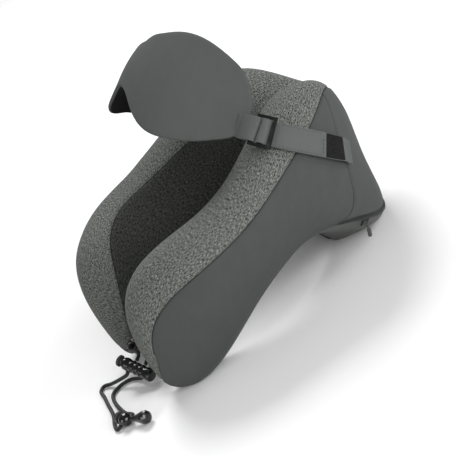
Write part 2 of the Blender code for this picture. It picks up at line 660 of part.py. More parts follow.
def mask_layer(name, finish, low_lift, high_lift, margin, columns=26, rows=6):
    """One layer of the mask between two lifts, which are functions of the full thickness."""
    end = MASK_W[-1] - margin
    share = np.linspace(-1, 1, columns + 1)
    layers = np.zeros((2, columns + 1, rows + 1, 3))
    for i, w in enumerate(end * (0.35 * np.sin(math.pi / 2 * share) + 0.65 * share)):
        top, low = mask_top(w) - margin, mask_low(w) + margin
        for j, v in enumerate(np.linspace(-1, 1, rows + 1)):
            full = mask_thickness(w, v)
            for layer, lift in enumerate((high_lift, low_lift)):
                layers[layer, i, j] = mask_point(w, low + (top - low) * (v + 1) / 2, lift(full))
    set_origin(slab(name, layers[0], layers[1], finish), MASK_AXIS)


def make_mask():
    mask_layer("mask_shell", "mask_knit", lambda t: t - 1.2, lambda t: t, 0.0)
    mask_layer("mask_foam", "foam", lambda t: 1.3, lambda t: t - 1.5, 1.5)
    mask_layer("mask_lining", "black_lining", lambda t: 0.0, lambda t: 1.0, 0.0)


# ================================================================ zip
def make_zip():
    first = FIRST["outer"]
    middle = (SURFACE[:, first] + SURFACE[:, first + 1]) / 2
    normal = NORMAL[:, first] + NORMAL[:, first + 1]
    normal /= np.linalg.norm(normal, axis=1, keepdims=True)
    coil = middle + normal * COIL_LIFT
    ends = slice(ROWS - BACK_ROWS + 1, ROWS + BACK_ROWS)
    cord("zip_coil", coil[ends], COIL_R, "zip_tape_grey", 9.0, resolution=1)
    row = ROWS + SLIDER_ROW
    along = unit(coil[row + 1] - coil[row - 1])
    out = unit(normal[row] - along * np.dot(normal[row], along))
    base = coil[row] + out * (COIL_R + SLIDER_LIFT)
    end, high = SLIDER_LENGTH / 2, 2.8
    profile = [(-end, 0), (end, 0), (end, 1.3), (end * 0.6, 1.6), (end * 0.45, high),
               (-end * 0.45, high), (-end * 0.6, 1.6), (-end, 1.3)]
    slider = plate("zip_slider", base, along, out, profile, SLIDER_WIDTH, "dark_metal")
    set_origin(slider, ZIP_AXIS_POINT)
    down = unit(np.array([0.0, 0.0, -1.0]) + along * along[2])
    hinge = base + out * (high + GAP + 1.1)
    tag = [(-1.0, -0.5), (1.0, -0.5), (1.0, 3.0), (1.8, 4.6), (1.8, PULL_LENGTH - 1), (1.1, PULL_LENGTH),
           (-1.1, PULL_LENGTH), (-1.8, PULL_LENGTH - 1), (-1.8, 4.6), (-1.0, 3.0)]
    pull = plate("zip_pull", hinge, along, down, tag, 1.1, "dark_metal")
    set_origin(pull, hinge)


# ================================================================ front closure
def make_lock(name, centre, axis, radius, length, stroke, head_length, outline, deep, segments=16):
    """A round spring cord lock: its body, its plunger and the spring between them.

    The outline's (length, radius) points run from the plunger's end of the body to its front."""
    centre, axis = np.asarray(centre, float), unit(axis)
    back, bore = -length / 2, radius * 0.58
    outline = [(back + deep, 0), (back + deep, bore), (back, bore)] + outline
    face_outward(turned(f"{name}_body", centre, axis, outline, "black_plastic", segments))
    head, stem, foot = back - stroke - GAP, bore - 0.35, back + deep * 0.2
    cap = head - head_length
    plunger = [(cap, 0), (cap, radius * 0.72), (cap + 0.8, radius * 0.92), (head - 0.6, radius * 0.92),
               (head, radius * 0.8), (head, stem), (foot, stem), (foot, 0)]
    push = face_outward(turned(f"{name}_plunger", centre, axis, plunger, "dark_plastic", segments))
    start, room = foot + stroke + GAP, back + deep - GAP
    across, upright = side_frame(axis)
    wire, per_turn, steps = 0.35, 8, 29
    coil = bore - wire - 0.3
    helix = [centre + axis * (start + wire + (room - start - 2 * wire) * k / (steps - 1))
             + coil * (math.cos(2 * math.pi * k / per_turn) * across
                       + math.sin(2 * math.pi * k / per_turn) * upright) for k in range(steps)]
    cord(f"{name}_spring", helix, wire, "spring_steel", None, resolution=0)
    set_origin(push, centre + axis * head)


def barrel_outline():
    """The ribbed barrel, from its rim to its rounded front."""
    back, r, ribs = -LOCK_LENGTH / 2, LOCK_R, 4
    pitch = (LOCK_LENGTH - 12.0) / ribs
    points = [(back, r * 0.86), (back + 1.2, r)]
    for k in range(ribs):
        at = back + 5.0 + k * pitch
        points += [(at, r), (at + pitch * 0.25, r * 0.86), (at + pitch * 0.6, r * 0.86), (at + pitch * 0.85, r)]
    return points + [(-back - 1.2, r), (-back, r * 0.8), (-back, 0)]


def ball_outline():
    degrees = range(-52, 90, 16)
    return [(TAIL_R * math.sin(math.radians(d)), TAIL_R * math.cos(math.radians(d))) for d in degrees] \
        + [(TAIL_R, 0)]


def make_closure():
    make_lock("cord_lock", LOCK_CENTRE, LOCK_AXIS, LOCK_R, LOCK_LENGTH, LOCK_STROKE,
              head_length=3.2, outline=barrel_outline(), deep=20.5)
    make_lock("tail_lock", TAIL_CENTRE, TAIL_AXIS, TAIL_R, 2 * TAIL_R * 0.8, TAIL_STROKE,
              head_length=4.6, outline=ball_outline(), deep=8.6)
    tail, bell_axis = np.array(TAIL_CENTRE), unit(BELL_AXIS)
    bell = [(0, 0), (0, 1.8), (3.6, 1.8), (4, 2.6), (7, 2.9), (12, 4.2), (17, 5.6), (20.5, 6.0), (22.6, 5.2),
            (23.7, 3.2), (24, 0)]
    face_outward(turned("bell_end", tail + bell_axis * (TAIL_R + GAP), bell_axis, bell, "black_plastic", 16))
    eyelet = [(0, 2.2), (0, EYELET_R - 0.5), (0.7, EYELET_R), (1.3, EYELET_R - 0.6), (1.7, 3.4), (1.4, 2.4),
              (0, 2.2)]
    centre, axis = np.array(LOCK_CENTRE), unit(LOCK_AXIS)
    landing = unit([0.0, 0.853, 0.52])
    for side, tag, row in ((1, "left", -1), (-1, "right", 0)):
        pole = SURFACE[row].mean(axis=0)
        out = unit([side * TIP_OUT[0], TIP_OUT[1], 0.0])
        face_outward(turned(f"tip_eyelet_{tag}", pole + out * 0.4, out, eyelet, "black_plastic", 16))
        land = centre + axis * (side * 5.0) + landing * (LOCK_R + GAP)
        start = pole + out * 0.5
        cord(f"tip_cord_{tag}", [start, start + out * 5.0, start * 0.55 + land * 0.45 + np.array([0, -1.0, 3.0]),
                                 land + landing * 5.0, land], CORD_R, "cord_black", 5.0)
    along, beside = unit(TAIL_AXIS), np.cross([0.0, 0.0, 1.0], unit(TAIL_AXIS))
    for tag, place, leave, floor_route in DRAW_ROUTES:
        leave = unit(leave)
        start = centre + axis * place + leave * (LOCK_R + GAP)
        side = 1 if tag == "left" else -1
        land = unit(side * 0.78 * beside - 0.48 * along - np.array([0.0, 0.0, 0.38]))
        finish = tail + land * (TAIL_R + GAP)
        points = [start, start + leave * 4.0, *map(np.array, floor_route), finish + land * 5.0, finish]
        cord(f"draw_cord_{tag}", points, CORD_R, "cord_black", CORD_SPACING)


# ================================================================ build
def main():
    clear_scene()
    make_core()
    make_cover()
    cover = surface_tree()
    for side, tag in ((1, "left"), (-1, "right")):
        make_strap(side, tag, cover)
    make_mask()
    make_zip()
    make_closure()


main()
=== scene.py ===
"""Looks of the U shaped neck pillow with a sleep mask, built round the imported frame.

Same axes as the frame: +Z up, +X the wearer's left, -Y the open front. Shapes are worked out in
millimetres in the pillow's own frame, and world() turns them into metres.
"""
import json
import math

import bmesh
import bpy
import numpy as np
from mathutils import Matrix, Vector

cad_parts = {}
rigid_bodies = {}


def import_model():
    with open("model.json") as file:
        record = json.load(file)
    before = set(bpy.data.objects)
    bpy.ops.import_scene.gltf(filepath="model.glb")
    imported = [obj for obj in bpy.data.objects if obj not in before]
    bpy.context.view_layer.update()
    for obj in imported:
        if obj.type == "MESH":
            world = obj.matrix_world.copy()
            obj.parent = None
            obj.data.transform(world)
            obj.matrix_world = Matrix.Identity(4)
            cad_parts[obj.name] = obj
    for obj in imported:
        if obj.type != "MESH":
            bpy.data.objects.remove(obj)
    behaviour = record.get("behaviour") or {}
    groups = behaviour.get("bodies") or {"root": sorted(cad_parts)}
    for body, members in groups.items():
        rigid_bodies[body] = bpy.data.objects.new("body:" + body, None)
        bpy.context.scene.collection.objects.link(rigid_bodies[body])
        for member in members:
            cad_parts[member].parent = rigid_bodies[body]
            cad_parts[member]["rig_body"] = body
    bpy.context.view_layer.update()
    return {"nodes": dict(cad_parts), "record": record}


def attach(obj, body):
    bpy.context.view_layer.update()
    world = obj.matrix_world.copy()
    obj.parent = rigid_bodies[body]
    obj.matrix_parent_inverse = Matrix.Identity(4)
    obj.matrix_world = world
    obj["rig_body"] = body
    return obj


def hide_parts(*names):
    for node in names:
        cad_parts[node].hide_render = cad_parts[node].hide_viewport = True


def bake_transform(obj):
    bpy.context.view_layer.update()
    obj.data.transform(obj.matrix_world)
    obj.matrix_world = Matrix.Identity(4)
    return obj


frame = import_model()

MM = 0.001
ORIGIN_Y = 0.365     # the frame's shift of the pillow along Y, in millimetres

# ---------------------------------------------------------------- camera, fitted in the pillow's frame
AZIMUTH, ELEVATION, ROLL = (math.radians(d) for d in (78.78, 21.24, 36.38))
TARGET = (0.0, 0.0, 65.0)
DISTANCE = 1400.0
LENS = 122.7
SIDE_STEP, UP_STEP = 4.5, -1.8

# ---------------------------------------------------------------- pillow dimensions, as in the frame
STATIONS = (0.0, 0.15, 0.30, 0.45, 0.60, 0.75, 0.88, 1.0)
CENTRE_X = (0, 48, 73, 86.5, 93, 87, 66.5, 38.5)
CENTRE_Y = (110, 96, 70, 34, -13.5, -63, -100, -126)
HALF_WIDTH = (32.5, 34, 36.5, 37.5, 37, 35.5, 34.5, 32.5)
TOP_Z = (119, 147, 154, 142, 129, 126, 114.5, 93)
UNDERSIDE_Z = (-1.6, -4.0, 18, 42.5, 37, 15, -1.6, -1.6)
COARSE = (0.0, 0.30, 0.60, 1.0)
LEAN = (-15.5, -14, -8.5, 4.5)
FLARE = (10, 24, -3, 2.5)
SEAM_STATIONS = (0.0, 0.25, 0.50, 0.75, 0.88, 1.0)
OUTER_SEAM = (49, 32, 21.5, 22, 10, -46)
BASE_SEAM = (-50, -56, -64, -68, -68, -68)
INNER_SEAM = (140, 150, 127, 134)
INNER_BASE_SEAM = 248
SQUARENESS = (3.4, 3.1, 2.6, 2.66)
FLARE_POWER = 2.2
CAP = 0.15
TIP_Z = 20
CAP_ROUND_SIDE = 2.4
CAP_ROUND_TOP = 3.2
EXIT_SHARE = 0.09
BACK_SEAM = (0.40, 0.19)
SEAM_BOW = 1.3
ZIP_SHARE = 0.075             # the zip tape's share of the outer panel's width

SEAM_DEPTH = 1.3              # how far a sewn seam sinks into the padding
SEAM_REACH = 1.7              # how far from the seam the padding has risen again
SWELL = 1.6                   # the most that the padding may swell between its seams
COVER_THICK = 1.0
FOAM_DEPTH = 2.6              # the foam lies this far under the cover's face
THREAD_R = 0.32
THREAD_LIFT = 0.25            # the seam's thread shows this far above the seam's foot
TOOTH_PITCH = 1.3
TOOTH_R = 0.62
TOOTH_LIFT = 0.35
TOOTH_LEAN = 0.45
TOOTH_RINGS = ((-1.3, 0.35), (-0.9, 0.75), (0.9, 0.75), (1.3, 0.35))    # places across, shares of TOOTH_R

# ---------------------------------------------------------------- mask and straps, as in the frame
LOOP_AXIS_Y = 107.0
LOOP_AXIS_Z = 85.0
LOOP_PITCH = math.radians(50)
MASK_FRONT = 177.0
MASK_SWEEP = 1.792
MASK_BRIDGE = 60.0
MASK_LEAN = 0.28
RIGHT_LEAN = 0.17           # the right half hangs with this much more lean,
RIGHT_TUCK = 10.0           # and with its foot drawn up
RIGHT_DROP = 9.0            # and its head a little lower
MASK_W = (0, 13.6, 26.8, 43.3, 65.3, 85, 100.6, 114.2, 122.5, 127.4)
MASK_TOP = (47, 56, 61, 65, 65, 59, 51.5, 41.5, 29, 18)
MASK_LOW = (9, 4, -9.5, -21.5, -24, -21.8, -17.3, -12.6, -4.5, 8)
MASK_EDGE = 4.0
MASK_DOME = 6.5
STRAP_LINE = ((98.0, -3.0, 26), (102.3, 4.0, 25), (108.2, 14, 22), (113.5, 25, 18), (118.4, 37, 15),
              (122.4, 49, 13), (125.2, 61, 12), (124.4, 72.5, 13), (119.5, 83.2, 14), (111.6, 91.8, 15),
              (102.5, 96.8, 12), (94.4, 99.4, 8))
WEB_WIDTH = 21.0
WEB_THICK = 1.2
FRAME_LENGTH = 19.0
FRAME_THICK = 2.2
FRAME_BAR = 2.8
FRAME_ALONG = 100.0
OVERLAP_END = 37.5
JOIN_LENGTH = 6.0           # webbing that reaches from the end of each tab into the mask's edge
GAP = 0.3

# ---------------------------------------------------------------- cords, as in the frame
CORD_R = 1.75
LOCK_CENTRE = (0.0, -139.0, 15.8)
LOCK_AXIS = (0.817, 0.300, -0.492)
LOCK_R = 6.0
TAIL_CENTRE = (42.0, -178.4, 6.4)
TAIL_AXIS = (0.985, 0.172, 0.0)
TAIL_R = 6.3
# Each free cord: its length, its place along the lock, the way it leaves, and its route to the ball.
DRAW_ROUTES = (
    ("right", 0.153, -14.0, (-0.387, -0.345, -0.855),
     ((-23, -151.9, 9.6), (-32, -156.6, 6.8), (-41, -160.9, 4.2), (-49.5, -164.8, 2.3), (-54.6, -168.8, 1.85),
      (-51.5, -173.0, 1.85), (-41, -175.2, 1.85), (-20.8, -178.0, 1.85), (2, -181, 1.85), (15, -184, 1.85),
      (22.5, -186.6, 1.85), (29, -188.3, 1.9))),
    ("left", 0.120, 1.0, (-0.49, -0.08, -0.867),
     ((-10, -141, 3.4), (-19, -143.6, 1.95), (-26.8, -148, 1.85), (-31, -158.8, 1.85), (-28.2, -167.2, 1.85),
      (-19.5, -171.3, 1.85), (-1.3, -173.6, 1.85), (16, -173.9, 1.85), (26.5, -172.4, 1.9))),
)


# ================================================================ general helpers
def world(points):
    """Pillow millimetres to world metres."""
    return (np.asarray(points, float) + (0.0, ORIGIN_Y, 0.0)) * MM


def unit(v):
    v = np.asarray(v, float)
    return v / np.linalg.norm(v)


def spline(xs, ys):
    """A smooth curve through points, with no bending at its two ends."""
    xs, ys = np.array(xs, float), np.array(ys, float)
    n, h = len(xs), np.diff(xs)
    system, right = np.eye(n), np.zeros(n)
    for i in range(1, n - 1):
        system[i, i - 1:i + 2] = h[i - 1], 2 * (h[i - 1] + h[i]), h[i]
        right[i] = 6 * ((ys[i + 1] - ys[i]) / h[i] - (ys[i] - ys[i - 1]) / h[i - 1])
    bend = np.linalg.solve(system, right)

    def curve(x):
        x = np.asarray(x, float)
        k = np.clip(np.searchsorted(xs, x, side="right") - 1, 0, n - 2)
        a, b, step = xs[k + 1] - x, x - xs[k], h[k]
        return (bend[k] * a ** 3 + bend[k + 1] * b ** 3) / (6 * step) \
            + (ys[k] / step - bend[k] * step / 6) * a + (ys[k + 1] / step - bend[k + 1] * step / 6) * b
    return curve


def mirrored(xs, ys, odd=False):
    """A curve over both arms, given over one of them."""
    sign = -1 if odd else 1
    return spline([-x for x in xs[:0:-1]] + list(xs), [sign * y for y in ys[:0:-1]] + list(ys))


def crowded(count, start=True, end=True):
    """Shares from 0 to 1 that crowd towards one end or both."""
    steps = np.arange(count)
    near = np.full(count, float(count))
    if start:
        near = np.minimum(near, steps)
    if end:
        near = np.minimum(near, count - 1 - steps)
    weights = np.minimum(1.0, 0.12 + 0.25 * near)
    return np.concatenate([[0], np.cumsum(weights)]) / weights.sum()


def make_object(name, verts, faces, material, uvs=None):
    """A mesh object from pillow millimetres, with one UV pair per vertex in metres."""
    mesh = bpy.data.meshes.new(name)
    mesh.from_pydata(world(verts).tolist(), [], faces)
    if uvs is not None:
        layer = mesh.uv_layers.new(name="weave")
        index = np.zeros(len(mesh.loops), int)
        mesh.loops.foreach_get("vertex_index", index)
        layer.data.foreach_set("uv", (np.asarray(uvs)[index] * MM).astype(np.float32).ravel())
    mesh.materials.append(material)
    mesh.shade_smooth()
    obj = bpy.data.objects.new(name, mesh)
    bpy.context.scene.collection.objects.link(obj)
    return obj


def face_outward(obj):
    work = bmesh.new()
    work.from_mesh(obj.data)
    bmesh.ops.recalc_face_normals(work, faces=work.faces)
    if work.calc_volume(signed=True) < 0:
        bmesh.ops.reverse_faces(work, faces=work.faces)
    work.to_mesh(obj.data)
    work.free()
    return obj


def shell(name, outer, inner, material, uvs):
    """A closed sheet between two grids of points, with UVs from the grid."""
    rows, columns = outer.shape[:2]
    verts = np.concatenate([outer.reshape(-1, 3), inner.reshape(-1, 3)])
    index = np.arange(rows * columns).reshape(rows, columns)
    faces = []
    for layer in (0, rows * columns):
        a, b = index[:-1, :-1] + layer, index[:-1, 1:] + layer
        d, e = index[1:, 1:] + layer, index[1:, :-1] + layer
        quads = np.stack([a, b, d, e] if layer == 0 else [e, d, b, a], -1)
        faces += quads.reshape(-1, 4).tolist()
    rim = np.concatenate([index[:-1, 0], index[-1, :-1], index[:0:-1, -1], index[0, :0:-1]])
    following = np.roll(rim, -1)
    faces += np.stack([rim, following, following + rows * columns, rim + rows * columns], -1).tolist()
    flat = np.asarray(uvs, float).reshape(-1, 2)
    obj = face_outward(make_object(name, verts, faces, material, np.concatenate([flat, flat])))
    obj.data.set_sharp_from_angle(angle=math.radians(60))
    return obj


def ring_faces(rings, sides, start=0):
    """Faces of a closed tube of vertex rings, capped at both ends."""
    faces = []
    for low in range(start, start + (rings - 1) * sides, sides):
        for k in range(sides):
            n = (k + 1) % sides
            faces.append([low + k, low + n, low + sides + n, low + sides + k])
    last = start + (rings - 1) * sides
    return faces + [[start + k for k in range(sides)][::-1], [last + k for k in range(sides)]]


def even_route(points, spacing):
    """Even points along a smooth curve through a cord's route points."""
    pts = np.array(points, float)
    along = np.concatenate([[0], np.cumsum(np.linalg.norm(np.diff(pts, axis=0), axis=1))])
    curves = [spline(along, pts[:, k]) for k in range(3)]
    fine = np.linspace(0, along[-1], 600)
    line = np.stack([c(fine) for c in curves], 1)
    run = np.concatenate([[0], np.cumsum(np.linalg.norm(np.diff(line, axis=0), axis=1))])
    even = np.linspace(0, run[-1], max(4, int(round(run[-1] / spacing)) + 1))
    return np.stack([np.interp(even, run, line[:, k]) for k in range(3)], 1)


def tube(name, line, radius, material, sides=14):
    """A round tube along a line of points, with UVs of length and girth."""
    line = np.array(line, float)
    forward = np.gradient(line, axis=0)
    forward /= np.linalg.norm(forward, axis=1, keepdims=True)
    across = unit(np.cross(forward[0], (0.31, 0.22, 0.92)))
    run = np.concatenate([[0], np.cumsum(np.linalg.norm(np.diff(line, axis=0), axis=1))])
    verts, uvs = [], []
    for point, ahead, length in zip(line, forward, run):
        across = unit(across - ahead * np.dot(across, ahead))
        beside = np.cross(ahead, across)
        for k in range(sides):
            turn = 2 * math.pi * k / sides
            verts.append(point + radius * (math.cos(turn) * across + math.sin(turn) * beside))
            uvs.append((length, radius * turn))
    return face_outward(make_object(name, verts, ring_faces(len(line), sides), material, uvs))


SIX_TURNS = np.radians(range(0, 360, 60))
# A stitch dives into the cloth at both ends: how far each ring stands up, and its share of the thickness.
STITCH_ARCH = ((-0.25, 0.5), (0.12, 1), (0.2, 1), (0.12, 1), (-0.25, 0.5))


def stitches(name, lines, material, length=2.4, pause=1.1, radius=0.26):
    """Rows of sewn stitches as short rounded threads. Each line is (points, outward directions)."""
    verts, faces = [], []
    for points, outward in lines:
        points, outward = np.array(points, float), np.array(outward, float)
        run = np.concatenate([[0], np.cumsum(np.linalg.norm(np.diff(points, axis=0), axis=1))])
        for k in range(int((run[-1] - length) / (length + pause))):
            stops = 0.5 * pause + k * (length + pause) + length * np.linspace(0, 1, len(STITCH_ARCH))
            mids = np.stack([np.interp(stops, run, points[:, a]) for a in range(3)], 1)
            ups = np.stack([np.interp(stops, run, outward[:, a]) for a in range(3)], 1)
            ahead = unit(mids[-1] - mids[0])
            start = len(verts)
            for mid, up, (lift, size) in zip(mids, ups, STITCH_ARCH):
                up = unit(up - ahead * np.dot(up, ahead))
                beside = np.cross(ahead, up)
                for turn in SIX_TURNS:
                    away = math.cos(turn) * beside + math.sin(turn) * up
                    verts.append(mid + up * lift + radius * size * away)
            faces += ring_faces(len(STITCH_ARCH), len(SIX_TURNS), start)
    return face_outward(make_object(name, verts, faces, material))


# ================================================================ materials
class Paint:
    """A small builder for one node material."""

    def __init__(self, name, roughness, metallic=0.0, sheen=0.0, specular=0.5):
        self.material = bpy.data.materials.new(name)
        self.material.use_nodes = True
        self.tree = self.material.node_tree
        self.shader = self.tree.nodes["Principled BSDF"]
        for socket, value in (("Roughness", roughness), ("Metallic", metallic), ("Sheen Weight", sheen),
                              ("Specular IOR Level", specular)):
            self.shader.inputs[socket].default_value = value

    def node(self, kind, inputs=(), **settings):
        made = self.tree.nodes.new(kind)
        for key, value in settings.items():
            setattr(made, key, value)
        for socket, value in inputs:
            if isinstance(value, bpy.types.NodeSocket):
                self.tree.links.new(value, made.inputs[socket])
            else:
                made.inputs[socket].default_value = value
        return made

    def place(self, scale, weave=True):
        """Texture coordinates in metres: the weave's own, or the object's."""
        source = self.node("ShaderNodeTexCoord").outputs["UV" if weave else "Object"]
        return self.node("ShaderNodeMapping", [("Vector", source), ("Scale", scale)]).outputs["Vector"]

    def noise(self, where, detail=2.0, rough=0.5):
        return self.node("ShaderNodeTexNoise", [("Vector", where), ("Scale", 1.0), ("Detail", detail),
                                                ("Roughness", rough)]).outputs["Fac"]

    def wave(self, where, scale, across="X", extra=()):
        """Straight bands across one direction of the weave."""
        return self.node("ShaderNodeTexWave", [("Vector", where), ("Scale", scale), *extra],
                         wave_type="BANDS", bands_direction=across).outputs["Fac"]

    def ramp(self, value, low, high, start=0.3, end=0.7):
        made = self.node("ShaderNodeValToRGB", [("Fac", value)])
        first, last = made.color_ramp.elements[0], made.color_ramp.elements[1]
        first.position, last.position = start, end
        first.color, last.color = (*low, 1), (*high, 1)
        return made.outputs["Color"]

    def mix(self, share, a, b, kind="MIX"):
        made = self.node("ShaderNodeMix", data_type="RGBA", blend_type=kind)
        for socket, value in ((0, share), (6, a), (7, b)):
            if isinstance(value, bpy.types.NodeSocket):
                self.tree.links.new(value, made.inputs[socket])
            else:
                made.inputs[socket].default_value = value
        return made.outputs[2]

    def math(self, kind, a, b):
        return self.node("ShaderNodeMath", [(0, a), (1, b)], operation=kind).outputs[0]

    def colour(self, value):
        if isinstance(value, bpy.types.NodeSocket):
            self.tree.links.new(value, self.shader.inputs["Base Color"])
        else:
            self.shader.inputs["Base Color"].default_value = (*value, 1)

    def bump(self, height, strength, distance):
        made = self.node("ShaderNodeBump", [("Height", height), ("Strength", strength),
                                            ("Distance", distance)])
        self.tree.links.new(made.outputs["Normal"], self.shader.inputs["Normal"])


def grey(level, warmth=0.0):
    return (level * (0.97 + warmth), level * (1.03 + 0.6 * warmth), level * (1 - warmth))


def heather(name, dark, middle, light, sheen=0.04):
    """Brushed melange knit: short light and dark threads along the knit's columns."""
    paint = Paint(name, 0.95, sheen=sheen, specular=0.15)
    threads = paint.noise(paint.place((430, 1250, 1)), detail=4.0, rough=0.75)
    broad = paint.noise(paint.place((260, 620, 1)), detail=2.0)
    streaks = paint.ramp(threads, dark, light, 0.43, 0.61)
    cloudy = paint.mix(0.12, streaks, (*middle, 1))
    paint.colour(paint.mix(0.6, cloudy, paint.ramp(broad, (0.7,) * 3, (1.3,) * 3), "MULTIPLY"))
    fuzz = paint.noise(paint.place((2400, 1500, 1)), detail=2.0)
    paint.bump(paint.math("ADD", threads, fuzz), 0.16, 0.0003)
    return paint.material


def fine_knit(name, level, sheen=0.03, roughness=0.85, contrast=0.05, warmth=0.0):
    """Smooth fine-gauge knit: tiny ribs, with a soft unevenness of colour."""
    paint = Paint(name, roughness, sheen=sheen, specular=0.2)
    ribs = paint.wave(paint.place((1, 1, 1)), 420.0,
                      extra=[("Distortion", 1.2), ("Detail", 2.0), ("Detail Scale", 2.0)])
    rows = paint.wave(paint.place((1, 1, 1)), 300.0, "Y", [("Distortion", 0.8)])
    cloud = paint.noise(paint.place((90, 60, 1)), detail=4.0, rough=0.6)
    grain = paint.noise(paint.place((1800, 1300, 1)), detail=2.0)
    base = paint.ramp(cloud, grey(level * (1 - contrast), warmth), grey(level * (1 + contrast), warmth))
    paint.colour(paint.mix(0.35, base, paint.ramp(grain, (0.78,) * 3, (1.22,) * 3), "MULTIPLY"))
    paint.bump(paint.math("ADD", paint.math("MULTIPLY", ribs, rows), grain), 0.25, 0.0003)
    return paint.material


def webbing(name, level):
    """Flat woven tape: close crosswise ribs over lengthwise columns."""
    paint = Paint(name, 0.85, sheen=0.04, specular=0.2)
    ribs = paint.wave(paint.place((1, 1, 1)), 260.0, extra=[("Distortion", 0.6)])
    columns = paint.wave(paint.place((1, 1, 1)), 330.0, "Y")
    weave = paint.math("MULTIPLY", ribs, columns)
    grain = paint.noise(paint.place((1300, 1300, 1)), detail=3.0)
    base = paint.ramp(weave, grey(level * 0.82), grey(level * 1.12), 0.0, 1.0)
    paint.colour(paint.mix(0.4, base, paint.ramp(grain, (0.8,) * 3, (1.2,) * 3), "MULTIPLY"))
    paint.bump(weave, 0.6, 0.0004)
    return paint.material


def hook_tape(name):
    """Hook tape: a dense field of tiny black loops."""
    paint = Paint(name, 0.95, specular=0.12)
    loops = paint.node("ShaderNodeTexVoronoi", [("Vector", paint.place((1100, 1100, 1))), ("Scale", 1.0)])
    paint.colour(paint.ramp(loops.outputs["Distance"], (0.02, 0.02, 0.019), (0.005, 0.005, 0.005), 0.0, 0.8))
    paint.bump(loops.outputs["Distance"], 0.9, 0.0006)
    return paint.material


def moulded(name, level, roughness, metallic=0.0):
    """Moulded plastic or plated metal with a faint surface grain and worn gloss."""
    paint = Paint(name, roughness, metallic=metallic)
    cloud = paint.noise(paint.place((260, 260, 260), weave=False), detail=3.0)
    paint.colour(paint.ramp(cloud, grey(level * 0.85), grey(level * 1.2)))
    wear = paint.node("ShaderNodeMapRange", [("Value", cloud), ("From Min", 0.3), ("From Max", 0.7),
                                             ("To Min", roughness * 0.8), ("To Max", roughness * 1.25)])
    paint.tree.links.new(wear.outputs["Result"], paint.shader.inputs["Roughness"])
    grain = paint.noise(paint.place((3000, 3000, 3000), weave=False), detail=1.0)
    paint.bump(grain, 0.08, 0.0001)
    return paint.material


def braid(name, level):
    """Round braided cord: crossing threads from two slanted waves."""
    paint = Paint(name, 0.5, sheen=0.03, specular=0.35)
    slants = []
    for turn in (0.7, -0.7):
        where = paint.node("ShaderNodeMapping", [("Vector", paint.node("ShaderNodeTexCoord").outputs["UV"]),
                                                 ("Rotation", (0, 0, turn))]).outputs["Vector"]
        slants.append(paint.wave(where, 240.0))
    crossing = paint.math("MAXIMUM", *slants)
    paint.colour(paint.ramp(crossing, grey(level * 0.5), grey(level * 1.3), 0.3, 1.0))
    paint.bump(crossing, 0.6, 0.0004)
    return paint.material


def foam_matter(name):
    """Open-celled memory foam."""
    paint = Paint(name, 1.0, specular=0.1)
    cells = paint.node("ShaderNodeTexVoronoi", [("Vector", paint.place((700, 700, 700), weave=False)),
                                                ("Scale", 1.0)]).outputs["Distance"]
    paint.colour(paint.ramp(cells, (0.50, 0.46, 0.37), (0.74, 0.70, 0.58), 0.0, 0.8))
    paint.bump(cells, 0.5, 0.0006)
    return paint.material


MATERIALS = {
    "heather_knit": heather("heather_knit", grey(0.008), grey(0.058, 0.03), grey(0.25, 0.03)),
    # The neck side panel's heather, at about 0.28 of the top band's: partly the knit's own darker tone,
    # partly painted shade of the deep neck opening.
    "neck_heather_with_painted_shade": heather("neck_heather_with_painted_shade", grey(0.004), grey(0.016, 0.03), grey(0.07, 0.03)),
    "plain_knit": fine_knit("plain_knit", 0.055),
    "base_knit": fine_knit("base_knit", 0.085, sheen=0.06, roughness=0.7, warmth=0.02),
    "zip_tape_grey": webbing("zip_tape_grey", 0.040),
    "grey_webbing": webbing("grey_webbing", 0.100),
    "black_hook": hook_tape("black_hook"),
    "mask_knit": fine_knit("mask_knit", 0.069, contrast=0.04),
    "black_lining": fine_knit("black_lining", 0.006, sheen=0.0, roughness=0.95),
    "cord_black": braid("cord_black", 0.008),
    "foam": foam_matter("foam"),
    "black_plastic": moulded("black_plastic", 0.005, 0.20),
    "dark_plastic": moulded("dark_plastic", 0.022, 0.40),
    "dark_metal": moulded("dark_metal", 0.10, 0.32, metallic=1.0),
    "spring_steel": moulded("spring_steel", 0.55, 0.3, metallic=1.0),
    "seam_thread": fine_knit("seam_thread", 0.016, sheen=0.0),
    "stitch_thread": fine_knit("stitch_thread", 0.070, sheen=0.0),
}


# ================================================================ camera
def view_axes():
    back = np.array([math.sin(AZIMUTH) * math.cos(ELEVATION), -math.cos(AZIMUTH) * math.cos(ELEVATION),
                     math.sin(ELEVATION)])
    level = np.array([math.cos(AZIMUTH), math.sin(AZIMUTH), 0.0])
    upright = np.cross(back, level)
    right = level * math.cos(ROLL) - upright * math.sin(ROLL)
    up = level * math.sin(ROLL) + upright * math.cos(ROLL)
    return right, up, back


def add_camera():
    right, up, back = view_axes()
    camera = bpy.data.objects.new("camera", bpy.data.cameras.new("camera"))
    bpy.context.scene.collection.objects.link(camera)
    camera.data.lens, camera.data.sensor_width = LENS, 36.0
    camera.data.clip_start, camera.data.clip_end = 0.1, 20.0
    place = world(np.array(TARGET) + back * DISTANCE + right * SIDE_STEP + up * UP_STEP)
    turn = Matrix((right, up, back)).transposed().to_4x4()
    camera.matrix_world = Matrix.Translation(Vector(place)) @ turn
    bpy.context.scene.camera = camera


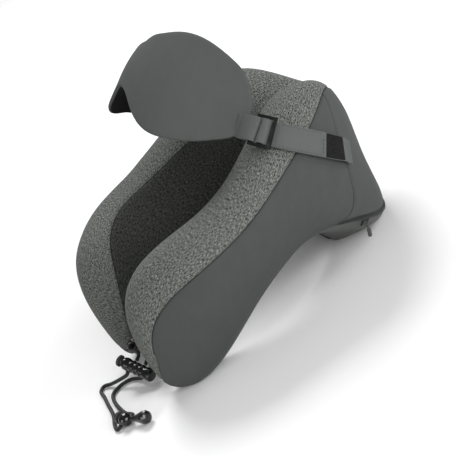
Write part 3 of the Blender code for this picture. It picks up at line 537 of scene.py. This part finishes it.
# ================================================================ cords
def add_cords():
    centre, axis = np.array(LOCK_CENTRE), unit(LOCK_AXIS)
    tail, along = np.array(TAIL_CENTRE), unit(TAIL_AXIS)
    beside = np.cross((0.0, 0.0, 1.0), along)
    for tag, length, place, leave, floor_route in DRAW_ROUTES:
        leave = unit(leave)
        start = centre + axis * place + leave * (LOCK_R + GAP)
        side = 1 if tag == "left" else -1
        land = unit(side * 0.78 * beside - 0.48 * along - np.array([0.0, 0.0, 0.38]))
        finish = tail + land * (TAIL_R + GAP)
        points = [start, start + leave * 4.0, *map(np.array, floor_route), finish + land * 5.0, finish]
        line = even_route(points, 1.6)
        made = tube(f"draw_cord_braid_{tag}", line, CORD_R, MATERIALS["cord_black"])
        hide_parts(f"draw_cord_{tag}")
        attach(made, "pillow")


# ================================================================ pillow
curves = {
    "y": mirrored(STATIONS, CENTRE_Y), "half": mirrored(STATIONS, HALF_WIDTH),
    "top": mirrored(STATIONS, TOP_Z), "under": mirrored(STATIONS, UNDERSIDE_Z),
    "lean": mirrored(COARSE, LEAN), "flare": mirrored(COARSE, FLARE),
    "outer_seam": mirrored(SEAM_STATIONS, OUTER_SEAM), "base_seam": mirrored(SEAM_STATIONS, BASE_SEAM),
    "inner_seam": mirrored(COARSE, INNER_SEAM), "square": mirrored(COARSE, SQUARENESS),
    "x": mirrored(STATIONS, CENTRE_X, odd=True),
}


def pillow_points(u, angle):
    """Surface points for a station u (-1 right tip, +1 left tip) and a section angle in radians."""
    step = 1e-3
    x, y = curves["x"](u), curves["y"](u)
    dx = curves["x"](u + step) - curves["x"](u - step)
    dy = curves["y"](u + step) - curves["y"](u - step)
    length = np.hypot(dx, dy)
    out_x, out_y = -dy / length, dx / length
    half, top, under = curves["half"](u), curves["top"](u), curves["under"](u)
    middle, rise = (top + under) / 2, (top - under) / 2
    left = np.clip((1 - np.abs(u)) / CAP, 0, 1)
    side_k = np.sqrt(np.maximum(1 - (1 - left) ** CAP_ROUND_SIDE, 0))
    top_k = np.sqrt(np.maximum(1 - (1 - left) ** CAP_ROUND_TOP, 0))
    middle = middle * top_k + TIP_Z * (1 - top_k)
    power = 2 / curves["square"](u)
    c, s = np.cos(angle), np.sin(angle)
    side = np.sign(c) * np.abs(c) ** power
    rise_share = np.sign(s) * np.abs(s) ** power
    foot = np.maximum(-rise_share, 0) ** FLARE_POWER * np.clip(side * 1.3, 0, 1)
    outward = side * half * side_k
    outward = outward - curves["lean"](u) * rise_share * top_k + curves["flare"](u) * foot * top_k
    return np.stack([x + out_x * outward, y + out_y * outward, middle + rise_share * rise * top_k], -1)


GROUPS = ("outer", "top", "inner", "base")


class PillowGrid:
    """A grid over the whole pillow: rows along the arms, columns round the section, aligned to the seams."""

    def __init__(self, back_rows, arm_rows, shares):
        before, after = crowded(back_rows, start=False), crowded(arm_rows, end=False)
        run = np.concatenate([before, 1 + (1 - (1 - after[1:]) ** 1.25)])
        self.row_run = np.concatenate([-run[:0:-1], run])
        self.seam_row = back_rows
        self.middle = len(run) - 1
        self.first, columns = {}, []
        for group in GROUPS:
            self.first[group] = len(columns)
            columns += [(group, f) for f in shares[group][:-1]]
        self.columns = len(columns)
        self.column_run = np.array([GROUPS.index(g) + f for g, f in columns])
        end = 1 - CAP * (1 - (1 - EXIT_SHARE ** 2) ** (1 / CAP_ROUND_SIDE))
        heads = {"outer": BACK_SEAM, "top": (BACK_SEAM[1], 0.21), "inner": (0.21, 0.24),
                 "base": (0.24, BACK_SEAM[0])}
        u, angle = np.zeros((2, len(self.row_run), self.columns))
        walk = np.abs(self.row_run)
        for c, (group, f) in enumerate(columns):
            low, high = heads[group]
            seam_u = low + (high - low) * f
            if group == "outer":
                seam_u = high + (low - high) * (1 - f) ** SEAM_BOW
            a = np.where(walk <= 1, walk * seam_u, seam_u + (walk - 1) * (end - seam_u))
            u[:, c] = np.sign(self.row_run) * a
            lows = {"outer": curves["base_seam"](a), "top": curves["outer_seam"](a),
                    "inner": curves["inner_seam"](a), "base": np.full_like(a, INNER_BASE_SEAM)}
            highs = {"outer": lows["top"], "top": lows["inner"], "inner": lows["base"],
                     "base": lows["outer"] + 360}
            angle[:, c] = np.radians(lows[group] + (highs[group] - lows[group]) * f)
        self.points = pillow_points(u, angle)
        around = (np.roll(self.points, -1, axis=1) - np.roll(self.points, 1, axis=1)) / 2
        self.normal = np.cross(around, np.gradient(self.points, axis=0))
        self.normal /= np.linalg.norm(self.normal, axis=2, keepdims=True)
        self.normal[self.points[:, :, 2] < 0] = (0, 0, -1)

    def at(self, depth):
        """The grid moved in by a depth, and kept off the floor by as much."""
        depth = np.broadcast_to(depth, self.points.shape[:2])
        moved = self.points - self.normal * depth[:, :, None]
        moved[:, :, 2] = np.maximum(moved[:, :, 2], np.maximum(depth, 0.0))
        return moved

    def closed_mesh(self, points):
        """Vertices and faces of the whole grid, capped at both tips."""
        rows, columns = points.shape[:2]
        index = np.arange(rows * columns).reshape(rows, columns)
        following = np.roll(index, -1, axis=1)
        quads = np.stack([index[:-1], following[:-1], following[1:], index[1:]], -1)
        faces = quads.reshape(-1, 4).tolist()
        return points.reshape(-1, 3), faces + [index[0].tolist()[::-1], index[-1].tolist()]


def sag_by_cloth(grid, start_depth):
    """Presses the padding out between its pinned seams with a cloth simulation. Returns the new points."""
    verts, faces = grid.closed_mesh(grid.at(start_depth))
    body = face_outward(make_object("swelling", verts, faces, MATERIALS["foam"]))
    rows, columns = grid.points.shape[:2]
    pinned = np.zeros((rows, columns), bool)
    pinned[:, [grid.first[g] for g in GROUPS]] = True
    for row in (grid.middle - grid.seam_row, grid.middle + grid.seam_row):
        pinned[row, grid.first["outer"]:grid.first["top"]] = True
    pinned[:2], pinned[-2:] = True, True
    pinned |= grid.points[:, :, 2] < 1.0
    group = body.vertex_groups.new(name="seams")
    group.add(np.flatnonzero(pinned.ravel()).tolist(), 1.0, "REPLACE")
    cloth = body.modifiers.new("Cloth", "CLOTH")
    cloth.settings.quality = 5
    cloth.settings.use_pressure = True
    cloth.settings.uniform_pressure_force = 4.0
    cloth.settings.tension_stiffness = cloth.settings.compression_stiffness = 12.0
    cloth.settings.bending_stiffness = 1.5
    cloth.settings.effector_weights.gravity = 0.0
    cloth.settings.vertex_group_mass = "seams"
    cloth.point_cache.frame_start, cloth.point_cache.frame_end = 1, 20
    for number in range(1, 21):
        bpy.context.scene.frame_set(number)
    seen = body.evaluated_get(bpy.context.evaluated_depsgraph_get()).data
    moved = np.zeros(len(seen.vertices) * 3)
    seen.vertices.foreach_get("co", moved)
    moved = moved.reshape(-1, 3) / MM - (0.0, ORIGIN_Y, 0.0)
    bpy.context.scene.frame_set(1)
    bpy.data.objects.remove(body)
    return moved.reshape(rows, columns, 3)


def swelling_of(grid):
    """How far each grid point stands above the start depth. The simulation moves the padding by about a
    tenth of a millimetre, so only its pattern is kept: it is scaled so that a tenth of the points reach
    SWELL."""
    rise = ((sag_by_cloth(grid, SWELL) - grid.at(SWELL)) * grid.normal).sum(axis=2)
    rise = np.clip(rise, 0, None)
    return SWELL * rise / max(np.percentile(rise, 90), 1e-6) if rise.max() > 0 else rise


def carried(coarse, values, fine):
    """Coarse grid values read at a finer grid's rows and columns."""
    wrapped = np.concatenate([values, values[:, :1]], axis=1)
    places = np.append(coarse.column_run, len(GROUPS))
    across = np.stack([np.interp(fine.column_run, places, row) for row in wrapped])
    return np.stack([np.interp(fine.row_run, coarse.row_run, across[:, c]) for c in range(fine.columns)], 1)


def seam_sink(distance):
    """How deep the cover dips at a distance from a seam."""
    return SEAM_DEPTH * np.exp(-(distance / SEAM_REACH) ** 2 * 2.2)


def add_seams(fine, depth, low, high, zip_end):
    """The dark line of thread that shows in each seam."""
    sunk = fine.at(depth + SEAM_DEPTH - THREAD_LIFT)
    outer_foot, side, neck, inner_foot = (fine.first[g] for g in GROUPS)
    lines = [("side", sunk[:, side]), ("neck", sunk[:, neck]), ("inner_foot", sunk[:, inner_foot]),
             ("outer_foot", sunk[:, outer_foot])]
    for tag, row in (("right", low), ("left", high)):
        lines.append((f"back_{tag}", sunk[row, outer_foot:side + 1]))
    lines.append(("zip_tape", sunk[low:high + 1, zip_end]))
    for name, line in lines:
        seam = tube(f"seam_{name}", line, THREAD_R, MATERIALS["seam_thread"], sides=6)
        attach(seam, "pillow")


def add_zip_teeth(fine, depth, low, high, column):
    """The zip's coil: a row of small teeth that lean to one side and the other in turn."""
    middle = fine.at(depth)[low + 2:high - 1, column]
    path = even_route(middle[::4], TOOTH_PITCH)
    verts, faces = [], []
    for k, spot in enumerate(path):
        ahead = unit(path[min(k + 1, len(path) - 1)] - path[max(k - 1, 0)])
        near = ((middle - spot) ** 2).sum(axis=1).argmin()
        upward = fine.normal[low + 2 + near, column]
        beside = unit(np.cross(upward, ahead))
        side = TOOTH_LEAN if k % 2 else -TOOTH_LEAN
        start = len(verts)
        for across, size in TOOTH_RINGS:
            for turn in SIX_TURNS:
                verts.append(spot + beside * (across + side) + upward * TOOTH_LIFT
                             + size * TOOTH_R * (math.cos(turn) * ahead + math.sin(turn) * upward))
        faces += ring_faces(len(TOOTH_RINGS), len(SIX_TURNS), start)
    teeth = face_outward(make_object("zip_teeth", verts, faces, MATERIALS["dark_plastic"]))
    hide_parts("zip_coil")
    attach(teeth, "pillow")


def add_pillow():
    shares = {"outer": np.linspace(0, 1, 15), "top": np.linspace(0, 1, 12), "inner": np.linspace(0, 1, 12),
              "base": np.linspace(0, 1, 9)}
    coarse = PillowGrid(8, 34, shares)
    swell = np.clip(swelling_of(coarse), 0, SWELL)
    zip_edge = crowded(6) * ZIP_SHARE
    fine_shares = {"outer": np.concatenate([zip_edge, ZIP_SHARE + crowded(34)[1:] * (1 - ZIP_SHARE)]),
                   "top": crowded(28), "inner": crowded(26), "base": crowded(18)}
    fine = PillowGrid(26, 92, fine_shares)
    rise = carried(coarse, swell, fine)
    depth = SWELL - rise
    last, zip_end = len(fine.row_run) - 1, fine.first["outer"] + len(zip_edge) - 1
    low, high = fine.middle - fine.seam_row, fine.middle + fine.seam_row
    outer = np.arange(fine.first["outer"], fine.first["top"] + 1)
    top = np.arange(fine.first["top"], fine.first["inner"] + 1)
    inner = np.arange(fine.first["inner"], fine.first["base"] + 1)
    base = np.arange(fine.first["base"], fine.columns + 1)
    panels = (
        ("side_panel_right", np.arange(0, low + 1), outer, "plain_knit"),
        ("side_panel_left", np.arange(high, last + 1), outer, "plain_knit"),
        ("back_panel", np.arange(low, high + 1), outer[zip_end:], "plain_knit"),
        ("zip_tape", np.arange(low, high + 1), outer[:zip_end + 1], "zip_tape_grey"),
        ("top_band", np.arange(last + 1), top, "heather_knit"),
        ("inner_panel", np.arange(last + 1), inner, "heather_knit"),
        ("base_panel", np.arange(last + 1), base, "base_knit"),
    )
    for node, rows, columns, slot in panels:
        columns = columns % fine.columns
        flat = fine.points[rows][:, columns]
        length = np.concatenate([np.zeros((1, len(columns))),
                                 np.cumsum(np.linalg.norm(np.diff(flat, axis=0), axis=2), axis=0)])
        width = np.concatenate([np.zeros((len(rows), 1)),
                                np.cumsum(np.linalg.norm(np.diff(flat, axis=1), axis=2), axis=1)], axis=1)
        near = np.minimum(width, width[:, -1:] - width)
        if node in ("side_panel_left", "back_panel", "zip_tape"):
            near = np.minimum(near, length)
        if node in ("side_panel_right", "back_panel", "zip_tape"):
            near = np.minimum(near, length[-1:] - length)
        here = depth[rows][:, columns] + seam_sink(near)
        points = flat - fine.normal[rows][:, columns] * here[:, :, None]
        points[:, :, 2] = np.maximum(points[:, :, 2], 0.05 + 0.8 * seam_sink(near) / SEAM_DEPTH)
        under = points - fine.normal[rows][:, columns] * COVER_THICK
        under[:, :, 2] = np.maximum(under[:, :, 2], points[:, :, 2] + 0.05)
        under[:, :, 2] = np.where(fine.normal[rows][:, columns][:, :, 2] < -0.95,
                                  points[:, :, 2] + COVER_THICK, under[:, :, 2])
        mid_length = length[:, length.shape[1] // 2][:, None] + np.zeros_like(width)
        uvs = np.stack([mid_length, width], -1)
        # The inner panel takes the darker neck heather: its own darker knit tone, plus painted shade of the
        # neck opening.
        look = "neck_heather_with_painted_shade" if node == "inner_panel" else slot
        piece = shell(f"{node}_cover", points, under, MATERIALS[look], uvs)
        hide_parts(node)
        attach(piece, "pillow")
    add_seams(fine, depth, low, high, zip_end)
    add_zip_teeth(fine, depth, low, high, zip_end // 2)
    verts, faces = coarse.closed_mesh(coarse.at(SWELL + FOAM_DEPTH - swell))
    foam = face_outward(make_object("foam_block", verts, faces, MATERIALS["foam"]))
    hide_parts("foam_core")
    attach(foam, "pillow")


# ================================================================ straps
LOOP_AXIS = np.array([0.0, LOOP_AXIS_Y, LOOP_AXIS_Z])
LOOP_FORWARD = np.array([0.0, -math.cos(LOOP_PITCH), math.sin(LOOP_PITCH)])
LOOP_UP = np.array([0.0, math.sin(LOOP_PITCH), math.cos(LOOP_PITCH)])
ACROSS = np.array([1.0, 0.0, 0.0])


def loop_point(across, forward, up):
    return LOOP_AXIS + ACROSS * across + LOOP_FORWARD * forward + LOOP_UP * up


class StrapLine:
    """The strap's middle line, walked by length from the seam, with its outward and width directions."""

    def __init__(self, side):
        self.side = side
        flat = np.array([(a, f) for a, f, _ in STRAP_LINE], float)
        knots = np.concatenate([[0], np.cumsum(np.hypot(*np.diff(flat, axis=0).T))])
        self.length = knots[-1]
        self.across, self.forward = spline(knots, flat[:, 0]), spline(knots, flat[:, 1])
        self.twist = spline(knots, [t for _, _, t in STRAP_LINE])

    def frame(self, along):
        step = 0.05
        run_a = float(self.across(along + step) - self.across(along - step))
        run_f = float(self.forward(along + step) - self.forward(along - step))
        forward = unit(self.side * run_a * ACROSS + run_f * LOOP_FORWARD)
        twist = math.radians(float(self.twist(along)))
        outward = unit(np.cross(LOOP_UP, forward) * self.side)
        width = math.cos(twist) * LOOP_UP - math.sin(twist) * outward
        outward = math.cos(twist) * outward + math.sin(twist) * LOOP_UP
        point = loop_point(self.side * float(self.across(along)), float(self.forward(along)), 0.0)
        return point, forward, outward, width


def fine_path(path, spacing=0.9):
    path = np.array(path, float)
    run = np.concatenate([[0], np.cumsum(np.hypot(*np.diff(path, axis=0).T))])
    even = np.linspace(0, run[-1], int(run[-1] / spacing) + 1)
    return np.stack([np.interp(even, run, path[:, k]) for k in (0, 1)], 1), even


def ribbon(name, line, path, material, width=WEB_WIDTH, thick=WEB_THICK):
    """Webbing with rounded selvedges along (length on the strap line, height over it) points.
    Returns the piece, and its upper face's points and outward directions by row and column."""
    path, run = fine_path(path)
    steps = np.gradient(path, axis=0)
    half, edge = width / 2, thick / 2
    section = [(-half, 0.0), (-half + 0.25, edge * 0.8), (-half + 0.9, edge), (-half * 0.5, edge * 0.94),
               (0.0, edge * 0.9), (half * 0.5, edge * 0.94), (half - 0.9, edge), (half - 0.25, edge * 0.8)]
    section += [(-a, -b) for a, b in section]
    verts, uvs, tops = [], [], []
    for (along, height), (slope_run, slope_rise), length in zip(path, steps, run):
        point, forward, outward, across = line.frame(along)
        normal = (-slope_rise * forward + slope_run * outward) / math.hypot(slope_run, slope_rise)
        middle = point + outward * height
        verts += [middle + across * a + normal * b for a, b in section]
        uvs += [(length, a) for a, b in section]
        tops.append((middle, across, normal))
    faces = ring_faces(len(path), len(section))
    piece = face_outward(make_object(name, verts, faces, material, uvs))
    piece.data.set_sharp_from_angle(angle=math.radians(50))
    return piece, tops


def turn_back(middle, height, radius, start, steps=13):
    return [(middle + radius * math.cos(a), height + radius * math.sin(a))
            for a in (start + math.pi * k / (steps - 1) for k in range(steps))]


def sewn_row(tops, rows, place, lift):
    """One stitch row lengthwise on a ribbon, at a place across its width."""
    chosen = [tops[r] for r in rows]
    return [m + a * place + n * lift for m, a, n in chosen], [n for _, _, n in chosen]


def sewn_bar(top, reach, lift):
    """One stitch row straight across a ribbon."""
    middle, across, normal = top
    places = np.linspace(-reach, reach, 9)
    return [middle + across * p + normal * lift for p in places], [normal] * len(places)


def add_straps():
    web = MATERIALS["grey_webbing"]
    for side, tag in ((1, "left"), (-1, "right")):
        line = StrapLine(side)
        end, bar = line.length, FRAME_ALONG
        turn = math.hypot(FRAME_BAR, FRAME_THICK) / 2 + GAP + WEB_THICK / 2 + 0.15
        under = [(a, -2.6) for a in np.linspace(5.0, bar - 14, 11)]
        under += [(bar - 10, -4.0), (bar - 6, -4.0), (bar - 3, -3.6), (bar - 1, -turn - 0.1)]
        back = turn_back(bar, 0.0, turn, -math.pi / 2 + 0.25)
        over = [(bar - 2.2, turn - 0.25), (bar - 5.3, -2.1), (bar - 6.8, -2.4), (bar - 9.8, -2.35),
                (bar - 13, -1.4)]
        over += [(a, -0.9) for a in np.linspace(bar - 17, OVERLAP_END, 7)]
        strap, tops = ribbon(f"strap_webbing_{tag}_woven", line, under + back + over, web)
        hook_path = [(a, -1.2) for a in np.linspace(12.0, OVERLAP_END - 0.8, 5)]
        hook, _ = ribbon(f"strap_hook_{tag}_tape", line, hook_path, MATERIALS["black_hook"],
                         width=WEB_WIDTH - 1, thick=0.8)
        outer = bar + (FRAME_LENGTH - FRAME_BAR) / 2
        loop = [(end, 0.6), (end - 4.0, 1.0), (outer + 2.0, turn + 0.1)]
        loop += [(2 * outer - a, h) for a, h in turn_back(outer, 0.0, turn, -math.pi / 2)[::-1]]
        loop += [(outer + 2.0, -turn - 0.1), (end - 4.0, -1.0), (end, -0.9)]
        tab, tab_tops = ribbon(f"mask_tab_{tag}_woven", line, loop, web)
        join_path = [(end + GAP + a, -0.15) for a in np.linspace(0.0, JOIN_LENGTH, 4)]
        join, _ = ribbon(f"mask_join_{tag}", line, join_path, web, width=WEB_WIDTH - 1)
        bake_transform(join)
        lift = WEB_THICK / 2 + 0.05
        rows = range(len(tops) - 55, len(tops) - 2)
        free_end = len(tops) - 5
        sewn = [sewn_row(tops, rows, p, -lift) for p in (-WEB_WIDTH / 2 + 1.6, WEB_WIDTH / 2 - 1.6)]
        sewn.append(sewn_bar(tops[free_end], WEB_WIDTH / 2 - 1.8, -lift))
        sewn += [sewn_bar(tab_tops[k], WEB_WIDTH / 2 - 1.4, lift) for k in (2, 5)]
        flip = [(points, [-np.array(n) for n in ups]) for points, ups in sewn[:3]]
        thread = stitches(f"strap_stitches_{tag}", flip + sewn[3:], MATERIALS["stitch_thread"])
        for piece, node, slot in ((strap, f"strap_webbing_{tag}", "grey_webbing"),
                                  (hook, f"strap_hook_{tag}", "black_hook"),
                                  (tab, f"mask_tab_{tag}", "grey_webbing"), (thread, None, "grey_webbing")):
            if node:
                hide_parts(node)
            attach(piece, "straps")


# ================================================================ mask
def mask_depth(across):
    """How far the mask's face stands behind its front at a distance from the middle."""
    return MASK_SWEEP * (np.hypot(across, MASK_BRIDGE) - MASK_BRIDGE)


MASK_ACROSS = np.linspace(0, 110, 1500)
MASK_RUN = np.concatenate([[0], np.cumsum(np.hypot(np.diff(MASK_ACROSS), np.diff(mask_depth(MASK_ACROSS))))])
half_top, half_low = mirrored(MASK_W, MASK_TOP), mirrored(MASK_W, MASK_LOW)


def slack(w, start, run):
    """Share of the right half's slackness: none on the left half and at the right tab."""
    rise = min(max((-w - start) / run, 0.0), 1.0)
    tail = min(max((MASK_W[-1] + w) / 40.0, 0.0), 1.0)
    return rise * rise * (3 - 2 * rise) * tail * tail * (3 - 2 * tail)


def mask_top(w):
    return float(half_top(w)) - RIGHT_DROP * slack(w, 0.0, 30.0)


def mask_low(w):
    return float(half_low(w)) + RIGHT_TUCK * slack(w, 24.0, 40.0)


def mask_point(w, h, lift):
    """A point of the mask by its length from the middle, its height and its lift off the face."""
    lean = MASK_LEAN + RIGHT_LEAN * slack(w, 0.0, 30.0)
    across = float(np.interp(abs(w), MASK_RUN, MASK_ACROSS))
    normal = unit([MASK_SWEEP * across / math.hypot(across, MASK_BRIDGE), 1.0]) * (lift - lean * h)
    side = -1 if w < 0 else 1
    return loop_point(side * (across + normal[0]), MASK_FRONT - float(mask_depth(across)) + normal[1], h)


def mask_thickness(w, v):
    share = min(abs(w) / MASK_W[-1], 1.0)
    swell = (1 - v * v) * (1 - share ** 4) * (0.35 + 0.65 * math.sin(math.pi * min(share * 1.15, 1.0)) ** 2)
    return MASK_EDGE + MASK_DOME * swell


def mask_layer(name, slot, low_lift, high_lift, margin, columns=130, rows=44, rounding=0.0):
    """One layer of the mask between two lifts, which are functions of the full thickness."""
    reach = MASK_W[-1] - margin
    layers = np.zeros((2, columns + 1, rows + 1, 3))
    uvs = np.zeros((columns + 1, rows + 1, 2))
    for i, s in enumerate(crowded(columns)):
        w = reach * (2 * s - 1)
        top, low = mask_top(w) - margin, mask_low(w) + margin
        for j, t in enumerate(crowded(rows)):
            v, h = 2 * t - 1, low + (top - low) * t
            full = mask_thickness(w, v)
            rim = min(reach - abs(w), h - low, top - h)
            rolled = rounding * (1 - math.sqrt(max(0.0, 1 - (1 - min(rim / 2.6, 1.0)) ** 2)))
            layers[0, i, j] = mask_point(w, h, high_lift(full) - rolled)
            layers[1, i, j] = mask_point(w, h, low_lift(full))
            uvs[i, j] = (w, h)
    piece = shell(name, layers[0], layers[1], MATERIALS[slot], uvs)
    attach(piece, "mask")
    return piece


def add_mask():
    face = mask_layer("mask_shell_knit", "mask_knit", lambda t: min(1.3, t * 0.4), lambda t: t, 0.0,
                      rounding=2.2)
    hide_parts("mask_shell")
    pad = mask_layer("mask_pad", "foam", lambda t: 1.4, lambda t: t - 0.9, 4.0, columns=60, rows=20)
    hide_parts("mask_foam")
    lining = mask_layer("mask_lining_cloth", "black_lining", lambda t: 0.0, lambda t: 1.0, 0.2)
    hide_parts("mask_lining")


# ================================================================ carried-over parts
def refined(node, material, levels=2, sharp=35.0):
    """A smoother copy of a CAD node in the same place, with its sharp edges kept."""
    source = frame["nodes"][node]
    work = bmesh.new()
    work.from_mesh(source.data)
    bmesh.ops.remove_doubles(work, verts=work.verts, dist=1e-6)
    bmesh.ops.join_triangles(work, faces=work.faces, angle_face_threshold=math.radians(8),
                             angle_shape_threshold=math.radians(60))
    crease = work.edges.layers.float.new("crease_edge")
    for edge in work.edges:
        if len(edge.link_faces) == 2 and edge.calc_face_angle(0.0) > math.radians(sharp):
            edge[crease] = 0.82
    mesh = bpy.data.meshes.new(f"{node}_fine")
    work.to_mesh(mesh)
    work.free()
    mesh.materials.clear()
    mesh.materials.append(material)
    mesh.shade_smooth()
    obj = bpy.data.objects.new(f"{node}_fine", mesh)
    bpy.context.scene.collection.objects.link(obj)
    smoother = obj.modifiers.new("Subdivision", "SUBSURF")
    smoother.levels = smoother.render_levels = levels
    body = source["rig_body"]
    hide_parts(node)
    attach(obj, body)
    return obj


def add_carried_parts():
    slots = {s["node"]: s["material_slot"] for s in frame["record"]["subparts"]}
    smoothed = ("cord_lock_body", "cord_lock_plunger", "tip_eyelet_left", "tip_eyelet_right")
    for node in smoothed:
        refined(node, MATERIALS[slots[node]])
    for node, obj in frame["nodes"].items():
        obj.data.materials.clear()
        obj.data.materials.append(MATERIALS[slots[node]])


# ================================================================ stage
FLOOR_HALF = 6.0
FLOOR_Z = -0.0004           # a hair under what rests on it


def add_stage():
    mesh = bpy.data.meshes.new("floor")
    corners = ((-1, -1), (1, -1), (1, 1), (-1, 1))
    mesh.from_pydata([(FLOOR_HALF * x, FLOOR_HALF * y, FLOOR_Z) for x, y in corners], [], [(0, 1, 2, 3)])
    paint = Paint("floor_paint", 0.85, specular=0.1)
    cloud = paint.noise(paint.place((3, 3, 3), weave=False), detail=2.0)
    paint.colour(paint.ramp(cloud, (0.86,) * 3, (0.88,) * 3))
    mesh.materials.append(paint.material)
    floor = bpy.data.objects.new("floor", mesh)
    bpy.context.scene.collection.objects.link(floor)


def add_light(name, place, target, size, power):
    lamp = bpy.data.lights.new(name, "AREA")
    lamp.shape, lamp.size, lamp.energy = "DISK", size, power
    obj = bpy.data.objects.new(name, lamp)
    bpy.context.scene.collection.objects.link(obj)
    obj.location = place
    obj.rotation_euler = (Vector(target) - Vector(place)).to_track_quat("-Z", "Y").to_euler()


def add_lights():
    world_light = bpy.data.worlds.new("studio")
    world_light.use_nodes = True
    world_light.node_tree.nodes["Background"].inputs["Color"].default_value = (1, 1, 1, 1)
    world_light.node_tree.nodes["Background"].inputs["Strength"].default_value = 0.22
    bpy.context.scene.world = world_light
    middle = (0, 0, 0.08)
    add_light("side", (1.9, 0.3, 0.75), middle, 1.3, 34)
    add_light("back_side", (0.9, 1.7, 1.1), middle, 1.0, 14)
    add_light("over_far_arm", (-1.5, 0.5, 1.9), middle, 1.2, 52)
    add_light("front", (0.5, -1.8, 0.7), middle, 1.0, 10)
    bpy.context.scene.view_settings.view_transform = "Standard"
    bpy.context.scene.view_settings.look = "None"


add_camera()
add_cords()
add_pillow()
add_straps()
add_mask()
add_carried_parts()
add_stage()
add_lights()
